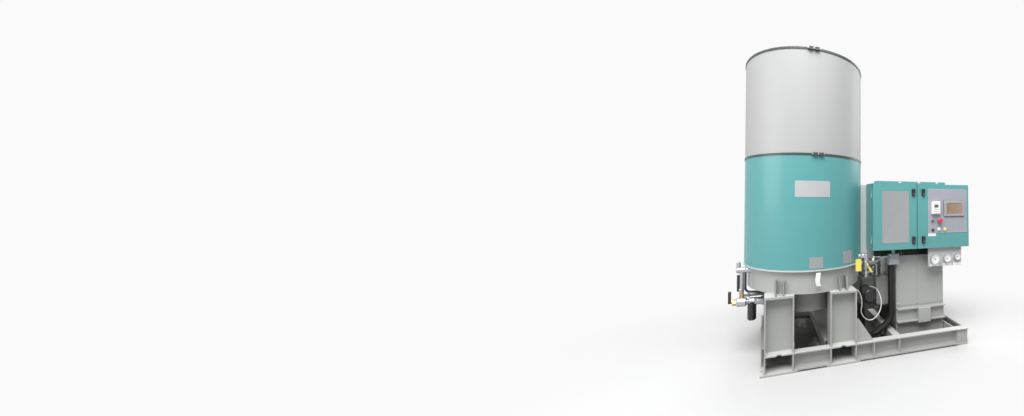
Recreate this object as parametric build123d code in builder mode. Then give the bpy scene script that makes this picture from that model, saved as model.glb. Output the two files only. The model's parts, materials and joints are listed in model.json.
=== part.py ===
"""Vertical steam boiler on a steel skid with a control cabinet, in millimetres.

X runs along the skid toward the cabinet, Y away from the viewer and Z up.
The origin is on the heater axis at floor level.
"""

import os
from math import radians, tan

from build123d import *

os.makedirs("parts", exist_ok=True)

low_corner = (Align.MIN, Align.MIN, Align.MIN)
standing = (Align.CENTER, Align.CENTER, Align.MIN)
flat_low = (Align.MIN, Align.MIN)
flat_high = (Align.MIN, Align.MAX)
half = 0.5

# Heater casing
casing_radius = 600
casing_wall = 60
lower_casing_height = 1009
upper_casing_height = 922
band_height = 18
band_lip = 5
rim_height = 12
rim_lip = 6
lug_height = 26
lug_reach = 24
lug_arc = 3.8
lug_pitch = 5.2
middle_lug_turn = 1.3
top_lug_turn = -2.7

# Skirt under the casing
skirt_inset = 30
skirt_wall = 12
skirt_height = 198.5
skirt_floor = 10
fin_thickness = 12
fin_spacing = 66
fin_height = 120
fin_lean = 30
cock_across = 22
cock_height = 103
cock_place = 338
cock_reach = 28
cock_rise = 5
cock_nipple_radius = 8

# Burner plenum below the skirt
plenum_inset = 140
plenum_height = 200
plenum_wall = 10

# Top cover and flue
cover_thickness = 8
cover_margin = 2
cover_hole_radius = 184
flue_radius = 200
flue_wall = 10
flue_height = 120
flue_foot_lip = 30
flue_foot_thickness = 10

# Columns
column_width = 246
column_depth = 160
column_height = 619.5
column_centre_x = 282.5
column_inset = 68
flange_thickness = 12
web_thickness = 12
shelf_thickness = 12
shelf_notch_radius = 22
foot_thickness = 16
foot_margin = 32
foot_hole_radius = 9
top_plate_thickness = 20

# Skid
rail_height = 152
rail_depth = 68
rail_web = 10
rail_flange = 12
rail_round = 8
end_beam_gap = 7
end_beam_width = 122
end_beam_height = 158
end_beam_wall = 12
end_beam_setback = 10
stiffener_thickness = 10
first_stiffener_gap = 165.5
second_stiffener_gap = 424.5
tunnel_width = 295
tunnel_wall = 10
pan_thickness = 8
pan_level = 60
bay_beam_gap = 116
bay_beam_width = 70
bay_beam_wall = 8
brace_width = 170
brace_height = 215
brace_top = 25
brace_thickness = 12
brace_setback = 22

# Control pedestal
pedestal_inset = 309
pedestal_width = 564
pedestal_depth = 450
pedestal_reach = 330
pedestal_rise = 244.5
cover_plate_thickness = 3
cover_plate_gap = 4
cover_plate_margin = 10
cover_plate_share = 0.43
ledge_height = 140
ledge_depth = 50
ledge_bottom = 216
ledge_wall = 10
ledge_box_inset = 230
ledge_box_width = 143
ledge_box_height = 155
ledge_box_bottom = 201
ledge_box_depth = 70
ledge_box_round = 6

# Back plate and control cabinet
plate_gap = 5
plate_width = 1040
plate_height = 740
plate_thickness = 12
plate_tail_width = 135
plate_tail_drop = 20
duct_depth = 50
duct_round = 8
cabinet_gap = 2
cabinet_width = 1102
cabinet_height = 660
cabinet_rise = 87.5
cabinet_setback = 273
cabinet_depth = 177
cabinet_wall = 10
cabinet_divider = 44
door_thickness = 25
door_gap = 5
door_edge = 16
door_hollow = 17
left_door_width = 477
door_split = 8
hinge_radius = 6
hinge_standoff = 2
hinge_pin_radius = 3
hinge_running = 0.05
hinge_half = 35
hinge_break = 0.3
hinge_leaf = 4
hinge_leaf_width = 30
hinge_inset = 105
top_rail_inset = 58
top_rail_width = 820
top_rail_height = 32
top_rail_depth = 30
top_rail_reach = 380
top_rail_corner = 12
latch_width = 32
latch_height = 75
latch_depth = 22
latch_round = 8
latch_slope = 8
left_latch_inset = 40
right_latch_inset = 63
latch_rise = 88

# Right door instruments
panel_inset = 123
panel_width = 467
panel_height = 458
panel_rise = 154.5
panel_thickness = 3
bezel_inset = 184
bezel_width = 247
bezel_height = 167
bezel_rise = 171
bezel_depth = 14
bezel_border = 26
bezel_slope = 6
screen_depth = 8
controller_inset = 34
controller_width = 92
controller_height = 131
controller_rise = 196
controller_depth = 34
controller_round = 6
stop_inset = 126
stop_rise = 128
stop_radius = 26
stop_stem_radius = 16
stop_stem = 18
stop_head = 16
stop_edge = 5
green_inset = 48
green_rise = 124
black_inset = 50
black_rise = 31
white_inset = 121
white_rise = 39
yellow_inset = 193
yellow_rise = 37
button_radius = 17
button_ring = 5
button_depth = 16

# Gauges under the cabinet
gauge_plate_margin = 69
gauge_plate_width = 406
gauge_plate_height = 200
gauge_plate_reach = 440
gauge_plate_thickness = 6
first_gauge_inset = 68
first_gauge_drop = 119.5
first_gauge_radius = 50
second_gauge_inset = 215
second_gauge_drop = 116.5
second_gauge_radius = 42
third_gauge_inset = 340
third_gauge_drop = 106.5
third_gauge_radius = 34
gauge_depth = 34
gauge_rim = 6
gauge_recess = 5

# Junction box and conduits
junction_outset = 99
junction_width = 112
junction_height = 112
junction_depth = 50
junction_drop = 56.5
junction_stub_radius = 20
conduit_radius = 34
conduit_low = 250
conduit_foot_inset = 50
conduit_foot_level = 125
conduit_bend = 170
gland_size = 84
sensor_radius = 8
sensor_drop = 26
sensor_run = 30

# Feed pump
stand_outset = 321
stand_width = 310
stand_depth = 330
stand_reach = 240
stand_height = 289
stand_plate = 12
pump_inset = 4
pump_width = 304
pump_drop = 12.5
pump_depth = 200
pump_reach = 110
pump_corner = 14
pump_flange = 12
pump_flange_thickness = 22
pump_boss_radius = 52
crank_width = 150
crank_reach = 70
side_width = 89
side_depth = 120
side_drop = 20
side_height = 185
head_radius = 38
head_height = 152
head_pitch = 96
head_setback = 52
head_flange_rise = 84
head_flange_radius = 46
head_flange_thickness = 20
head_cap_across = 62
head_cap_height = 36
motor_radius = 72
motor_body_radius = 62
motor_inset = 60
motor_rise = 125
motor_length = 160
motor_flange_thickness = 14
motor_cowl = 62
motor_edge = 14
motor_fin = 5
motor_foot_width = 110
motor_foot_depth = 90
terminal_width = 84
terminal_depth = 80
terminal_height = 24
terminal_outset = 0
terminal_setback = 22
feed_pipe_inset = 194
feed_pipe_setback = 80
feed_pipe_rise = 134.5
feed_pipe_radius = 20

# Outlet valve
outlet_rise = 49
outlet_reach = 69.3
outlet_setback = 310
outlet_radius = 24
valve_drop = 84
valve_radius = 32
valve_height = 72
valve_neck = 5
spindle_radius = 7
spindle_length = 60
spindle_running = 0.1
lever_hub_radius = 15
lever_hub_length = 12
lever_gap = 11
lever_length = 95
lever_width = 22
lever_thickness = 6
lever_angle = -56
sensor_fitting_radius = 13
sensor_fitting_length = 52
sensor_fitting_rise = 19
drain_radius = 17
drain_rise = 59.5
drain_inset = 166
drain_setback = 40

# Fuel train
fuel_setback = 200
fuel_drop = 129.5
fuel_radius = 20
fuel_flange_gap = 25
fuel_flange_length = 28
fuel_flange_radius = 40
fuel_coupling_length = 46
fuel_coupling_radius = 34
fuel_valve_length = 72
fuel_valve_radius = 36
fuel_neck_length = 8
fuel_body_length = 97
fuel_body_radius = 42
fuel_edge = 13
union_length = 33
union_across = 50
riser_radius = 20
riser_start = 102
tee_radius = 28
tee_gap = 2
tee_reach = 50
tee_edge = 8
bonnet_offset = 29
bonnet_across = 34
bonnet_height = 40
riser_union_across = 34
sight_width = 22
sight_depth = 24
sight_height = 150
actuator_radius = 40
actuator_height = 136
actuator_edge = 12
handle_stem_radius = 8
handle_stem = 9
handle_thickness = 26
handle_width = 22
handle_length = 96
hose_radius = 11
hose_offset = 33
hose_drop = 36
hose_fall = 30
hose_bend = 40

# Cable that hangs beside the pump motor
cable_radius = 5
cable_gland_radius = 10
cable_gland_length = 12
cable_gland_drop = 19.5
cable_gland_setback = 62
loop_width = 330
loop_depth = 230
loop_height = 330

# Levels and places that follow from the sizes above
pan_top = pan_level + pan_thickness
rail_top = foot_thickness + rail_height
column_top = foot_thickness + column_height
skirt_bottom = column_top + top_plate_thickness
skirt_radius = casing_radius - skirt_inset
plenum_radius = skirt_radius - plenum_inset
plenum_bottom = skirt_bottom - plenum_height
rim_bottom = skirt_bottom + skirt_height
casing_bottom = rim_bottom + rim_height
middle_band_bottom = casing_bottom + lower_casing_height
upper_casing_bottom = middle_band_bottom + band_height
top_band_bottom = upper_casing_bottom + upper_casing_height
cover_bottom = top_band_bottom + band_height
flue_bottom = cover_bottom + cover_thickness
column_centre_y = skirt_radius - column_inset
skid_front = column_centre_y + column_depth * half
column_back = column_centre_y - column_depth * half
column_inner = column_centre_x - column_width * half
column_outer = column_centre_x + column_width * half
rail_back = skid_front - rail_depth
cabinet_left = casing_radius + cabinet_gap
cabinet_right = cabinet_left + cabinet_width
pedestal_left = cabinet_left + pedestal_inset
pedestal_right = pedestal_left + pedestal_width
end_beam_left = pedestal_right + end_beam_gap
pedestal_top = skirt_bottom + pedestal_rise
cabinet_bottom = pedestal_top + cabinet_rise
cabinet_top = cabinet_bottom + cabinet_height
cabinet_front = cabinet_setback + cabinet_depth
door_back = cabinet_front + door_gap
door_front = door_back + door_thickness
left_door_end = cabinet_left + left_door_width
right_door_start = left_door_end + door_split
right_door_width = cabinet_right - right_door_start
hinge_reach = cabinet_front + door_gap * half
hinge_out = hinge_radius + hinge_standoff
hinge_levels = (cabinet_bottom + hinge_inset, cabinet_top - hinge_inset)
latch_levels = (cabinet_bottom + latch_rise, cabinet_top - latch_rise)

# Columns: flanges, web, shelf, foot plate with its anchor hole, and top plate
with BuildPart() as front_columns:
    with BuildSketch(Plane.XY):
        with Locations((column_centre_x, -column_centre_y)):
            Rectangle(column_width + 2 * foot_margin, column_depth)
        with Locations((column_outer + foot_margin * half, -column_centre_y)):
            Circle(foot_hole_radius, mode=Mode.SUBTRACT)
    extrude(amount=foot_thickness)
    with BuildSketch(Plane.XY.offset(foot_thickness)):
        with Locations((column_centre_x, -column_centre_y)):
            with GridLocations(column_width - flange_thickness, column_depth, 2, 1):
                Rectangle(flange_thickness, column_depth)
    extrude(amount=column_height)
    with BuildSketch(Plane.XY.offset(rail_top - shelf_thickness)):
        with Locations((column_centre_x, -column_centre_y)):
            Rectangle(column_width, column_depth)
        with Locations((column_centre_x, -skid_front)):
            Circle(shelf_notch_radius, mode=Mode.SUBTRACT)
    extrude(amount=shelf_thickness)
    with BuildSketch(Plane.XY.offset(rail_top)):
        with Locations((column_centre_x, -column_centre_y)):
            Rectangle(column_width, web_thickness)
    extrude(amount=column_top - rail_top)
    with BuildSketch(Plane.XY.offset(column_top)):
        with Locations((column_centre_x, -column_centre_y)):
            Rectangle(column_width, column_depth)
    extrude(amount=top_plate_thickness)
    mirror(about=Plane.YZ)
front_columns.part.label = "front_columns"
export_step(front_columns.part, "parts/front_columns.step")

with BuildPart() as rear_columns:
    mirror(front_columns.part, about=Plane.XZ)
rear_columns.part.label = "rear_columns"
export_step(rear_columns.part, "parts/rear_columns.step")

# Channel rails, cut from the run between the columns and the run to the end beam
with BuildPart() as side_rails:
    for start, end in ((-column_inner, column_inner), (column_outer, end_beam_left)):
        with BuildSketch(Plane.YZ.offset(start)):
            with Locations((-skid_front, foot_thickness)):
                Rectangle(rail_depth, rail_height, align=flat_low)
            with Locations((-skid_front, foot_thickness + rail_flange)):
                Rectangle(
                    rail_depth - rail_web,
                    rail_height - 2 * rail_flange,
                    align=flat_low,
                    mode=Mode.SUBTRACT,
                )
        extrude(amount=end - start)
    for gap in (first_stiffener_gap, second_stiffener_gap):
        with BuildSketch(Plane.YZ.offset(column_outer + gap)):
            with Locations((-skid_front, foot_thickness)):
                Rectangle(rail_depth, rail_height, align=flat_low)
        extrude(amount=stiffener_thickness)
    root_edges = side_rails.edges().filter_by(Axis.X).filter_by(
        lambda edge: abs(edge.center().Y + rail_back + rail_web) < rail_round
    )
    fillet(root_edges, radius=rail_round)
    mirror(about=Plane.XZ)
side_rails.part.label = "side_rails"
export_step(side_rails.part, "parts/side_rails.step")

with BuildPart() as end_beam:
    beam_reach = skid_front - end_beam_setback
    with BuildSketch(Plane.XZ.offset(-beam_reach)):
        with Locations((end_beam_left, 0)):
            Rectangle(end_beam_width, end_beam_height, align=flat_low)
    extrude(amount=2 * beam_reach)
    beam_top = end_beam.faces().sort_by(Axis.Z)[-1]
    offset(amount=-end_beam_wall, openings=beam_top, kind=Kind.INTERSECTION)
end_beam.part.label = "end_beam"
export_step(end_beam.part, "parts/end_beam.step")

# Fork tunnels between the columns, open below
with BuildPart() as fork_tunnels:
    with BuildSketch(Plane.XZ.offset(-column_back)):
        with Locations((column_centre_x, foot_thickness)):
            Rectangle(tunnel_width, rail_height, align=(Align.CENTER, Align.MIN))
            Rectangle(
                tunnel_width - 2 * tunnel_wall,
                rail_height - tunnel_wall,
                align=(Align.CENTER, Align.MIN),
                mode=Mode.SUBTRACT,
            )
    extrude(amount=2 * column_back)
    mirror(about=Plane.YZ)
fork_tunnels.part.label = "fork_tunnels"
export_step(fork_tunnels.part, "parts/fork_tunnels.step")

# Pans under the heater and the pump bay, and the cross beam
with BuildPart() as drip_pan:
    pan_left = column_centre_x + tunnel_width * half
    with Locations((pan_left, -rail_back, pan_level)):
        Box(end_beam_left - pan_left, 2 * rail_back, pan_thickness, align=low_corner)
    between_tunnels = column_centre_x - tunnel_width * half
    with Locations((-between_tunnels, -rail_back, pan_level)):
        Box(2 * between_tunnels, 2 * rail_back, pan_thickness, align=low_corner)
drip_pan.part.label = "drip_pan"
export_step(drip_pan.part, "parts/drip_pan.step")

with BuildPart() as bay_beam:
    beam_rise = rail_top - pan_top
    with BuildSketch(Plane.XZ.offset(-rail_back)):
        with Locations((pedestal_left - bay_beam_gap, pan_top)):
            Rectangle(bay_beam_width, beam_rise, align=flat_low)
        with Locations((pedestal_left - bay_beam_gap + bay_beam_wall, pan_top + bay_beam_wall)):
            Rectangle(
                bay_beam_width - 2 * bay_beam_wall,
                beam_rise - 2 * bay_beam_wall,
                align=flat_low,
                mode=Mode.SUBTRACT,
            )
    extrude(amount=2 * rail_back)
bay_beam.part.label = "bay_beam"
export_step(bay_beam.part, "parts/bay_beam.step")

with BuildPart() as column_braces:
    with BuildSketch(Plane.XZ.offset(skid_front - brace_setback - brace_thickness)):
        with BuildLine():
            Polyline(
                (column_outer, rail_top),
                (column_outer + brace_width, rail_top),
                (column_outer + brace_top, rail_top + brace_height),
                (column_outer, rail_top + brace_height),
                close=True,
            )
        make_face()
    extrude(amount=brace_thickness)
    mirror(about=Plane.XZ)
column_braces.part.label = "column_braces"
export_step(column_braces.part, "parts/column_braces.step")

# Skirt turned as a cup, with leaning fins over the columns
with BuildPart() as skirt:
    with BuildSketch(Plane.XZ):
        with Locations((0, skirt_bottom)):
            Rectangle(skirt_radius, skirt_height, align=flat_low)
    revolve(axis=Axis.Z)
    for side in (-column_centre_x, column_centre_x):
        for spread in (-fin_spacing * half, fin_spacing * half):
            with BuildSketch(Plane.YZ.offset(side + spread - fin_thickness * half)):
                with BuildLine():
                    Polyline(
                        (0, skirt_bottom),
                        (-skid_front, skirt_bottom),
                        (-skirt_radius + fin_lean, skirt_bottom + fin_height),
                        (0, skirt_bottom + fin_height),
                        close=True,
                    )
                make_face()
            extrude(amount=fin_thickness)
    mirror(about=Plane.XZ)
    with BuildSketch(Plane.XZ):
        with Locations((0, skirt_bottom + skirt_floor)):
            Rectangle(skirt_radius - skirt_wall, skirt_height, align=flat_low)
    revolve(axis=Axis.Z, mode=Mode.SUBTRACT)
skirt.part.label = "skirt"
export_step(skirt.part, "parts/skirt.step")

with BuildPart() as skirt_cock:
    cock_wall = (skirt_radius**2 - cock_place**2) ** half
    with BuildSketch(Plane.XY.offset(skirt_bottom + cock_rise)):
        with Locations((cock_place, -cock_wall - cock_reach)):
            RegularPolygon(cock_across * half, 6, major_radius=False)
    extrude(amount=cock_height)
    with BuildSketch(Plane.XZ.offset(cock_wall + cock_reach)):
        with Locations((cock_place, skirt_bottom + cock_rise + cock_height - cock_across)):
            Circle(cock_nipple_radius)
    extrude(amount=-cock_wall * half - cock_reach)
    with Locations((0, 0, skirt_bottom)):
        Cylinder(skirt_radius, skirt_height, align=standing, mode=Mode.SUBTRACT)
skirt_cock.part.label = "skirt_cock"
export_step(skirt_cock.part, "parts/skirt_cock.step")

with BuildPart() as burner_plenum:
    with BuildSketch(Plane.XZ):
        with BuildLine():
            Polyline(
                (0, plenum_bottom),
                (plenum_radius, plenum_bottom),
                (plenum_radius, skirt_bottom),
                (plenum_radius - plenum_wall, skirt_bottom),
                (plenum_radius - plenum_wall, plenum_bottom + plenum_wall),
                (0, plenum_bottom + plenum_wall),
                close=True,
            )
        make_face()
    revolve(axis=Axis.Z)
burner_plenum.part.label = "burner_plenum"
export_step(burner_plenum.part, "parts/burner_plenum.step")

# Casing turned ring by ring, stacked face to face
casing_inside = casing_radius - casing_wall
with BuildPart() as bottom_rim:
    with BuildSketch(Plane.XZ):
        with Locations((casing_inside, rim_bottom)):
            Rectangle(casing_wall + rim_lip, rim_height, align=flat_low)
    revolve(axis=Axis.Z)
bottom_rim.part.label = "bottom_rim"
export_step(bottom_rim.part, "parts/bottom_rim.step")

with BuildPart() as lower_casing:
    with BuildSketch(Plane.XZ):
        with Locations((casing_inside, casing_bottom)):
            Rectangle(casing_wall, lower_casing_height, align=flat_low)
    revolve(axis=Axis.Z)
lower_casing.part.label = "lower_casing"
export_step(lower_casing.part, "parts/lower_casing.step")

with BuildPart() as middle_band:
    with BuildSketch(Plane.XZ):
        with Locations((casing_inside, middle_band_bottom)):
            Rectangle(casing_wall + band_lip, band_height, align=flat_low)
    revolve(axis=Axis.Z)
    for turn in (middle_lug_turn, middle_lug_turn + lug_pitch):
        with BuildSketch(Plane.YZ.rotated((0, 0, turn - lug_arc * half))):
            with Locations((-casing_radius, middle_band_bottom + band_height * half)):
                Rectangle(lug_reach, lug_height, align=(Align.MAX, Align.CENTER))
        revolve(axis=Axis.Z, revolution_arc=lug_arc)
middle_band.part.label = "middle_band"
export_step(middle_band.part, "parts/middle_band.step")

with BuildPart() as upper_casing:
    with BuildSketch(Plane.XZ):
        with Locations((casing_inside, upper_casing_bottom)):
            Rectangle(casing_wall, upper_casing_height, align=flat_low)
    revolve(axis=Axis.Z)
upper_casing.part.label = "upper_casing"
export_step(upper_casing.part, "parts/upper_casing.step")

with BuildPart() as top_band:
    with BuildSketch(Plane.XZ):
        with Locations((casing_inside, top_band_bottom)):
            Rectangle(casing_wall + band_lip, band_height, align=flat_low)
    revolve(axis=Axis.Z)
    for turn in (top_lug_turn, top_lug_turn + lug_pitch):
        with BuildSketch(Plane.YZ.rotated((0, 0, turn - lug_arc * half))):
            with Locations((-casing_radius, top_band_bottom + band_height * half)):
                Rectangle(lug_reach, lug_height, align=(Align.MAX, Align.CENTER))
        revolve(axis=Axis.Z, revolution_arc=lug_arc)
top_band.part.label = "top_band"
export_step(top_band.part, "parts/top_band.step")

with BuildPart() as top_cover:
    with BuildSketch(Plane.XZ):
        with Locations((cover_hole_radius, cover_bottom)):
            Rectangle(casing_radius - cover_margin - cover_hole_radius, cover_thickness, align=flat_low)
    revolve(axis=Axis.Z)
top_cover.part.label = "top_cover"
export_step(top_cover.part, "parts/top_cover.step")

with BuildPart() as flue_collar:
    with BuildSketch(Plane.XZ):
        with Locations((flue_radius - flue_wall, flue_bottom)):
            Rectangle(flue_wall, flue_height, align=flat_low)
            Rectangle(flue_wall + flue_foot_lip, flue_foot_thickness, align=flat_low)
    revolve(axis=Axis.Z)
flue_collar.part.label = "flue_collar"
export_step(flue_collar.part, "parts/flue_collar.step")

# Pedestal with two cover plates and a channel ledge
with BuildPart() as pedestal:
    with Locations((pedestal_left, -pedestal_reach, pan_top)):
        Box(pedestal_width, pedestal_depth, pedestal_top - pan_top, align=low_corner)
pedestal.part.label = "pedestal"
export_step(pedestal.part, "parts/pedestal.step")

with BuildPart() as pedestal_covers:
    covers_width = pedestal_width - 2 * cover_plate_margin - cover_plate_gap
    covers_left = pedestal_left + cover_plate_margin
    covers_bottom = ledge_bottom + ledge_height + 2 * cover_plate_margin
    first_width = covers_width * cover_plate_share
    with BuildSketch(Plane.XZ.offset(pedestal_reach)):
        with Locations((covers_left, covers_bottom)):
            Rectangle(first_width, pedestal_top - cover_plate_margin - covers_bottom, align=flat_low)
        with Locations((covers_left + first_width + cover_plate_gap, covers_bottom)):
            Rectangle(
                covers_width - first_width,
                pedestal_top - cover_plate_margin - covers_bottom,
                align=flat_low,
            )
    extrude(amount=cover_plate_thickness)
    junction_foot = cabinet_bottom - junction_drop - junction_height
    with Locations((pedestal_left, -pedestal_reach - cover_plate_thickness, junction_foot)):
        Box(
            junction_width - junction_outset + cover_plate_gap,
            cover_plate_thickness,
            junction_height,
            align=low_corner,
            mode=Mode.SUBTRACT,
        )
pedestal_covers.part.label = "pedestal_covers"
export_step(pedestal_covers.part, "parts/pedestal_covers.step")

with BuildPart() as pedestal_ledge:
    ledge_box_left = pedestal_left + ledge_box_inset
    ledge_box_right = ledge_box_left + ledge_box_width
    for start, end in ((pedestal_left, ledge_box_left), (ledge_box_right, pedestal_right)):
        with BuildSketch(Plane.YZ.offset(start)):
            with Locations((-pedestal_reach - ledge_depth, ledge_bottom)):
                Rectangle(ledge_depth, ledge_height, align=flat_low)
            with Locations((-pedestal_reach - ledge_depth, ledge_bottom + ledge_wall)):
                Rectangle(
                    ledge_depth - ledge_wall,
                    ledge_height - 2 * ledge_wall,
                    align=flat_low,
                    mode=Mode.SUBTRACT,
                )
        extrude(amount=end - start)
pedestal_ledge.part.label = "pedestal_ledge"
export_step(pedestal_ledge.part, "parts/pedestal_ledge.step")

with BuildPart() as ledge_box:
    with Locations((ledge_box_left, -pedestal_reach - ledge_box_depth, ledge_box_bottom)):
        Box(ledge_box_width, ledge_box_depth, ledge_box_height, align=low_corner)
    chamfer(ledge_box.faces().sort_by(Axis.Y)[0].edges(), length=ledge_box_round)
ledge_box.part.label = "ledge_box"
export_step(ledge_box.part, "parts/ledge_box.step")

# Back plate and cabinet with its two spaces
with BuildPart() as back_plate:
    plate_back = cabinet_setback - plate_thickness
    plate_left = (casing_radius**2 - plate_back**2) ** half + plate_gap
    with BuildSketch(Plane.XZ.offset(cabinet_setback)):
        with Locations((plate_left, pedestal_top)):
            Rectangle(plate_width, plate_height, align=flat_low)
            Rectangle(plate_tail_width, plate_tail_drop, align=flat_high)
    extrude(amount=-plate_thickness)
back_plate.part.label = "back_plate"
export_step(back_plate.part, "parts/back_plate.step")

# Cable duct on the pedestal, under the cabinet
with BuildPart() as cable_duct:
    duct_left = plate_left + plate_tail_width + plate_gap
    duct_height = cabinet_bottom - pedestal_top
    with BuildSketch(Plane.YZ.offset(duct_left)):
        with Locations((-cabinet_setback - duct_depth, pedestal_top)):
            Rectangle(duct_depth, duct_height, align=flat_low)
    extrude(amount=pedestal_right - duct_left)
    duct_front = cable_duct.faces().sort_by(Axis.Y)[0]
    chamfer(duct_front.edges().filter_by(Axis.X), length=duct_round)
cable_duct.part.label = "cable_duct"
export_step(cable_duct.part, "parts/cable_duct.step")

with BuildPart() as cabinet:
    with BuildSketch(Plane.XZ.offset(cabinet_setback)):
        with Locations((cabinet_left, cabinet_bottom)):
            Rectangle(cabinet_width, cabinet_height, align=flat_low)
    extrude(amount=cabinet_depth)
    divider_centre = left_door_end + door_split * half
    divider_left = divider_centre - cabinet_divider * half
    divider_right = divider_centre + cabinet_divider * half
    with BuildSketch(Plane.XZ.offset(cabinet_front)):
        with Locations((cabinet_left + cabinet_wall, cabinet_bottom + cabinet_wall)):
            Rectangle(
                divider_left - cabinet_left - cabinet_wall,
                cabinet_height - 2 * cabinet_wall,
                align=flat_low,
            )
        with Locations((divider_right, cabinet_bottom + cabinet_wall)):
            Rectangle(
                cabinet_right - cabinet_wall - divider_right,
                cabinet_height - 2 * cabinet_wall,
                align=flat_low,
            )
    extrude(amount=cabinet_wall - cabinet_depth, mode=Mode.SUBTRACT)
cabinet.part.label = "cabinet"
export_step(cabinet.part, "parts/cabinet.step")

with BuildPart() as cabinet_hinges:
    for side, edge in ((-1, cabinet_left), (1, cabinet_right)):
        for level in hinge_levels:
            with BuildSketch(Plane.XY.offset(level - hinge_half)):
                with Locations((edge + side * hinge_out, -hinge_reach)):
                    Circle(hinge_radius)
                with Locations((edge + side * hinge_leaf * half, -hinge_reach)):
                    Rectangle(hinge_leaf, hinge_leaf_width, align=(Align.CENTER, Align.MIN))
            extrude(amount=hinge_half)
            with BuildSketch(Plane.XY.offset(level)):
                with Locations((edge + side * hinge_out, -hinge_reach)):
                    Circle(hinge_pin_radius)
            extrude(amount=hinge_half)
cabinet_hinges.part.label = "cabinet_hinges"
export_step(cabinet_hinges.part, "parts/cabinet_hinges.step")

with BuildPart() as cabinet_top_rail:
    with BuildSketch(Plane.XZ.offset(top_rail_reach - top_rail_depth)):
        with Locations((cabinet_left + top_rail_inset, cabinet_top)):
            Rectangle(top_rail_width, top_rail_height, align=flat_low)
    extrude(amount=top_rail_depth)
    upper_ends = cabinet_top_rail.edges().filter_by(Axis.Y).group_by(Axis.Z)[-1]
    fillet(upper_ends, radius=top_rail_corner)
cabinet_top_rail.part.label = "cabinet_top_rail"
export_step(cabinet_top_rail.part, "parts/cabinet_top_rail.step")

# Doors as hollow trays with the upper half of each hinge
with BuildPart() as left_door:
    with BuildSketch(Plane.XZ.offset(door_back)):
        with Locations((cabinet_left, cabinet_bottom)):
            Rectangle(left_door_width, cabinet_height, align=flat_low)
    extrude(amount=door_thickness)
    with BuildSketch(Plane.XZ.offset(door_back)):
        with Locations((cabinet_left + door_edge, cabinet_bottom + door_edge)):
            Rectangle(left_door_width - 2 * door_edge, cabinet_height - 2 * door_edge, align=flat_low)
    extrude(amount=door_hollow, mode=Mode.SUBTRACT)
    for level in hinge_levels:
        with BuildSketch(Plane.XY.offset(level + hinge_break)):
            with Locations((cabinet_left - hinge_out, -hinge_reach)):
                Circle(hinge_radius)
            with Locations((cabinet_left - hinge_out, -door_back - hinge_radius)):
                Rectangle(hinge_out, hinge_radius + door_gap * half, align=flat_low)
            with Locations((cabinet_left - hinge_out, -hinge_reach)):
                Circle(hinge_pin_radius + hinge_running, mode=Mode.SUBTRACT)
        extrude(amount=hinge_half)
left_door.part.label = "left_door"
export_step(left_door.part, "parts/left_door.step")

with BuildPart() as right_door:
    with BuildSketch(Plane.XZ.offset(door_back)):
        with Locations((right_door_start, cabinet_bottom)):
            Rectangle(right_door_width, cabinet_height, align=flat_low)
    extrude(amount=door_thickness)
    with BuildSketch(Plane.XZ.offset(door_back)):
        with Locations((right_door_start + door_edge, cabinet_bottom + door_edge)):
            Rectangle(right_door_width - 2 * door_edge, cabinet_height - 2 * door_edge, align=flat_low)
    extrude(amount=door_hollow, mode=Mode.SUBTRACT)
    for level in hinge_levels:
        with BuildSketch(Plane.XY.offset(level + hinge_break)):
            with Locations((cabinet_right + hinge_out, -hinge_reach)):
                Circle(hinge_radius)
            with Locations((cabinet_right, -door_back - hinge_radius)):
                Rectangle(hinge_out, hinge_radius + door_gap * half, align=flat_low)
            with Locations((cabinet_right + hinge_out, -hinge_reach)):
                Circle(hinge_pin_radius + hinge_running, mode=Mode.SUBTRACT)
        extrude(amount=hinge_half)
right_door.part.label = "right_door"
export_step(right_door.part, "parts/right_door.step")

# Latches with a sloped face
with BuildPart() as left_door_latches:
    with BuildSketch(Plane.XZ.offset(door_front)):
        for level in latch_levels:
            with Locations((left_door_end - left_latch_inset, level)):
                RectangleRounded(latch_width, latch_height, latch_round)
    extrude(amount=latch_depth)
    for level in latch_levels:
        with BuildSketch(Plane.YZ.offset(left_door_end - left_latch_inset - latch_width)):
            with BuildLine():
                Polyline(
                    (-door_front - latch_depth, level - latch_height * half),
                    (-door_front - latch_depth + latch_slope, level - latch_height * half),
                    (-door_front - latch_depth, level + latch_height * half),
                    close=True,
                )
            make_face()
        extrude(amount=2 * latch_width, mode=Mode.SUBTRACT)
left_door_latches.part.label = "left_door_latches"
export_step(left_door_latches.part, "parts/left_door_latches.step")

with BuildPart() as right_door_latches:
    latch_shift = right_door_start + right_latch_inset - left_door_end + left_latch_inset
    with Locations((latch_shift, 0, 0)):
        add(left_door_latches.part)
right_door_latches.part.label = "right_door_latches"
export_step(right_door_latches.part, "parts/right_door_latches.step")

# Instruments on the right door
panel_left = right_door_start + panel_inset
panel_bottom = cabinet_bottom + panel_rise
panel_front = door_front + panel_thickness
with BuildPart() as control_panel:
    with BuildSketch(Plane.XZ.offset(door_front)):
        with Locations((panel_left, panel_bottom)):
            Rectangle(panel_width, panel_height, align=flat_low)
    extrude(amount=panel_thickness)
control_panel.part.label = "control_panel"
export_step(control_panel.part, "parts/control_panel.step")

bezel_centre = (panel_left + bezel_inset + bezel_width * half, panel_bottom + bezel_rise + bezel_height * half)
screen_width = bezel_width - 2 * bezel_border
screen_height = bezel_height - 2 * bezel_border
with BuildPart() as screen_bezel:
    with BuildSketch(Plane.XZ.offset(panel_front)):
        with Locations(bezel_centre):
            Rectangle(bezel_width, bezel_height)
    extrude(amount=bezel_depth)
    chamfer(screen_bezel.faces().sort_by(Axis.Y)[0].edges(), length=bezel_slope)
    with BuildSketch(Plane.XZ.offset(panel_front + panel_thickness)):
        with Locations(bezel_centre):
            Rectangle(screen_width, screen_height)
    extrude(amount=bezel_depth, mode=Mode.SUBTRACT)
screen_bezel.part.label = "screen_bezel"
export_step(screen_bezel.part, "parts/screen_bezel.step")

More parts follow.
